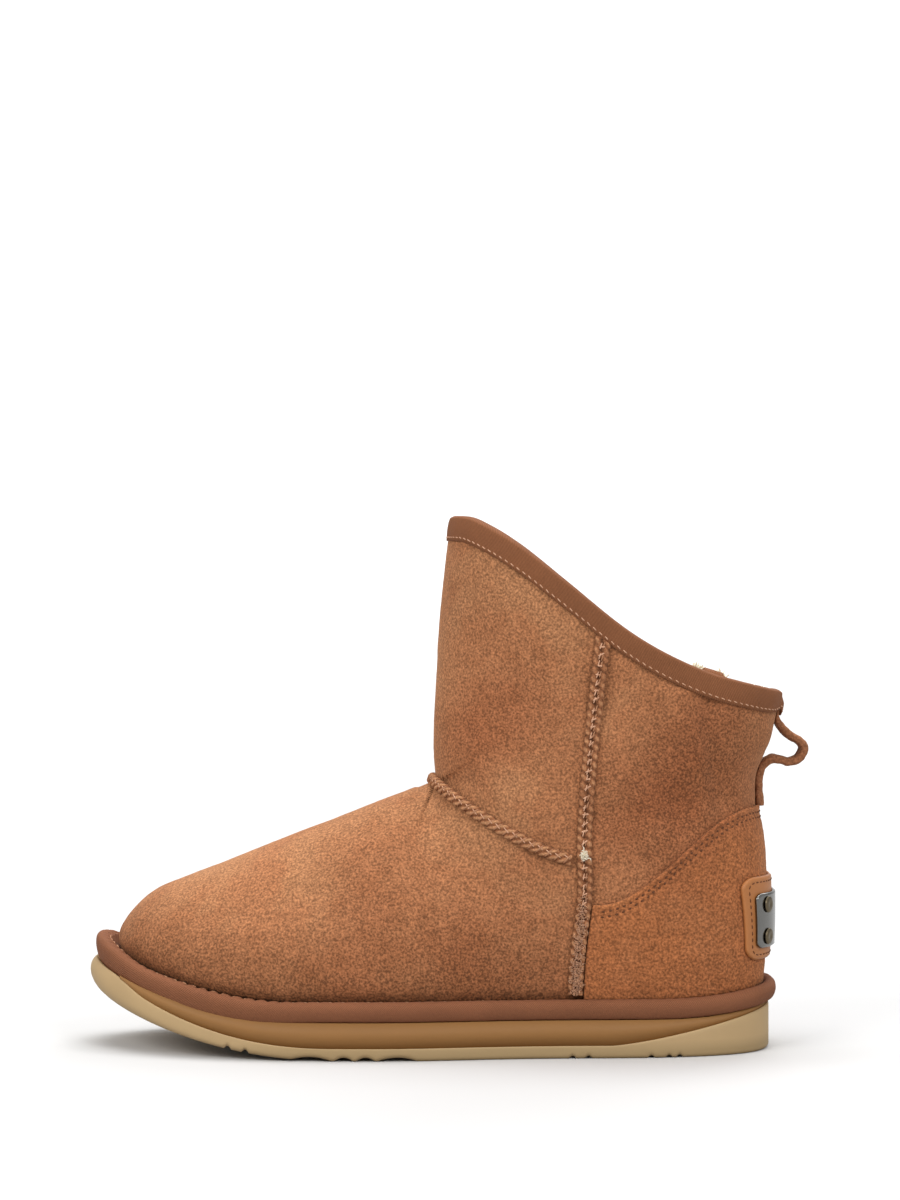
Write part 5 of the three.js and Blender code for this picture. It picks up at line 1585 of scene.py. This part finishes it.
probe = along_x(np.linspace(-0.03, 1.01, 2000))
mid_x = probe[layer_top(probe) - foam_low(probe) > 0.25]
bends = np.linspace(0.08, math.pi - 0.08, 320)
mid_x = mix(mid_x[0], mid_x[-1], (1 - np.cos(bends)) / 2)
mid_reach = reach_of(*REACH_SOLE, extra=-0.9)
left, right = (station_edge(mid_x, side, mid_reach)[:, None] for side in (-1, 1))
mid_y = mix(left, right, np.linspace(0, 1, 24))
mid_x = mid_x[:, None] + 0 * mid_y
mid_low = np.stack([mid_x, mid_y, foam_low(mid_x) - 0.3], -1)
mid_top = np.stack([mid_x, mid_y, layer_top(mid_x) + 0.35], -1)
add_sheet("midsole_foam", mid_low, mid_top, foam, ["midsole"])

# %% [markdown]
# ## Floor, light and camera
# The boot stands on a white sweep in even, soft light from above and in front, a little stronger
# from the left. The camera is level with the instep and looks at the outer side.

# %% The sweep
SWEEP_RADIUS, SWEEP_START = 1.2, 1.6
bends = np.linspace(0, np.pi / 2, 14)[1:]
bend_y, bend_z = SWEEP_START + SWEEP_RADIUS * np.sin(bends), SWEEP_RADIUS * (1 - np.cos(bends))
sweep_y = np.r_[np.linspace(-3, SWEEP_START, 12), bend_y, SWEEP_START + SWEEP_RADIUS]
sweep_z = np.r_[np.zeros(12), bend_z, 4.0]
sweep_x = np.linspace(-4, 4, 9)[:, None]
sweep = np.stack([sweep_x + 0 * sweep_y, sweep_y + 0 * sweep_x, sweep_z + 0 * sweep_x], -1)
sweep_mesh = bpy.data.meshes.new("sweep")
sweep_faces, _ = grid_faces(*sweep.shape[:2])
sweep_mesh.from_pydata(sweep.reshape(-1, 3).tolist(), [], sweep_faces.tolist())
sweep_mesh.polygons.foreach_set("use_smooth", np.ones(len(sweep_faces), bool))
floor = bpy.data.objects.new("sweep", sweep_mesh)
bpy.context.scene.collection.objects.link(floor)


def grey(value):
    return (value, value, value, 1)


# The floor is whiter to the camera than to the boot, and whiter still behind it.
floor_finish = bpy.data.materials.new("sweep_white")
floor_finish.use_nodes = True
paint = Nodes(floor_finish.node_tree)
floor_inputs = floor_finish.node_tree.nodes["Principled BSDF"].inputs
place = paint.add("TexCoord").outputs["Object"]
risen = paint.spread(paint.add("SeparateXYZ", {0: place}).outputs[2], 0.0, 0.5)
seen = paint.add("LightPath").outputs["Is Camera Ray"]
white = paint.blend(risen, grey(0.62), grey(0.98))
paint.join(paint.blend(seen, grey(0.42), white), floor_inputs["Base Color"])
floor_inputs["Roughness"].default_value = 0.9
floor_inputs["Specular IOR Level"].default_value = 0.1
sweep_mesh.materials.append(floor_finish)
print("sweep:", len(sweep_faces), "faces")


# %% Lights
def add_light(name, place, aim, size, power, colour=(1, 1, 1)):
    """A square soft light at `place`, turned to `aim`."""
    data = bpy.data.lights.new(name, "AREA")
    data.shape, data.size, data.energy, data.color = "SQUARE", size, power, colour
    light = bpy.data.objects.new(name, data)
    bpy.context.scene.collection.objects.link(light)
    light.location = place
    light.rotation_euler = (Vector(aim) - Vector(place)).to_track_quat("-Z", "Y").to_euler()


add_light("key", (-1.3, -1.5, 1.5), (0, 0, 0.08), 1.2, 25, (1.0, 0.98, 0.95))
add_light("fill", (1.1, -1.8, 1.4), (0, 0, 0.08), 1.0, 21)
add_light("top", (0.1, 0.1, 2.2), (0, 0, 0), 1.6, 16)
add_light("back", (0.6, 1.6, 1.5), (0, 0, 0.1), 1.2, 14)
add_light("wash", (0, 0.9, 3.4), (0, 2.9, 1.4), 2.5, 90)
world = bpy.data.worlds.new("studio")
bpy.context.scene.world = world
world.use_nodes = True
world.node_tree.nodes["Background"].inputs[0].default_value = (1, 1, 1, 1)
world.node_tree.nodes["Background"].inputs[1].default_value = 0.55

# %% Camera
FOCAL_PIXELS, PICTURE_HEIGHT, SENSOR = 3112, 1200, 36.0
camera_data = bpy.data.cameras.new("camera")
camera_data.sensor_fit, camera_data.sensor_height = "VERTICAL", SENSOR
camera_data.lens = SENSOR * FOCAL_PIXELS / PICTURE_HEIGHT
camera_data.clip_start, camera_data.clip_end = 0.05, 30
camera = bpy.data.objects.new("camera", camera_data)
bpy.context.scene.collection.objects.link(camera)
camera.location = (0.0014, -1.230, 0.1752)
camera.rotation_euler = (math.pi / 2, 0, 0)
bpy.context.scene.camera = camera
bpy.context.scene.view_settings.view_transform = "Standard"
print("camera lens:", round(camera_data.lens, 2), "mm")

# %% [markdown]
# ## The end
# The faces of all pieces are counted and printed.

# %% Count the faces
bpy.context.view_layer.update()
total = sum(len(piece.data.polygons) for piece in PIECES)
print("pieces:", len(PIECES), "faces:", total)
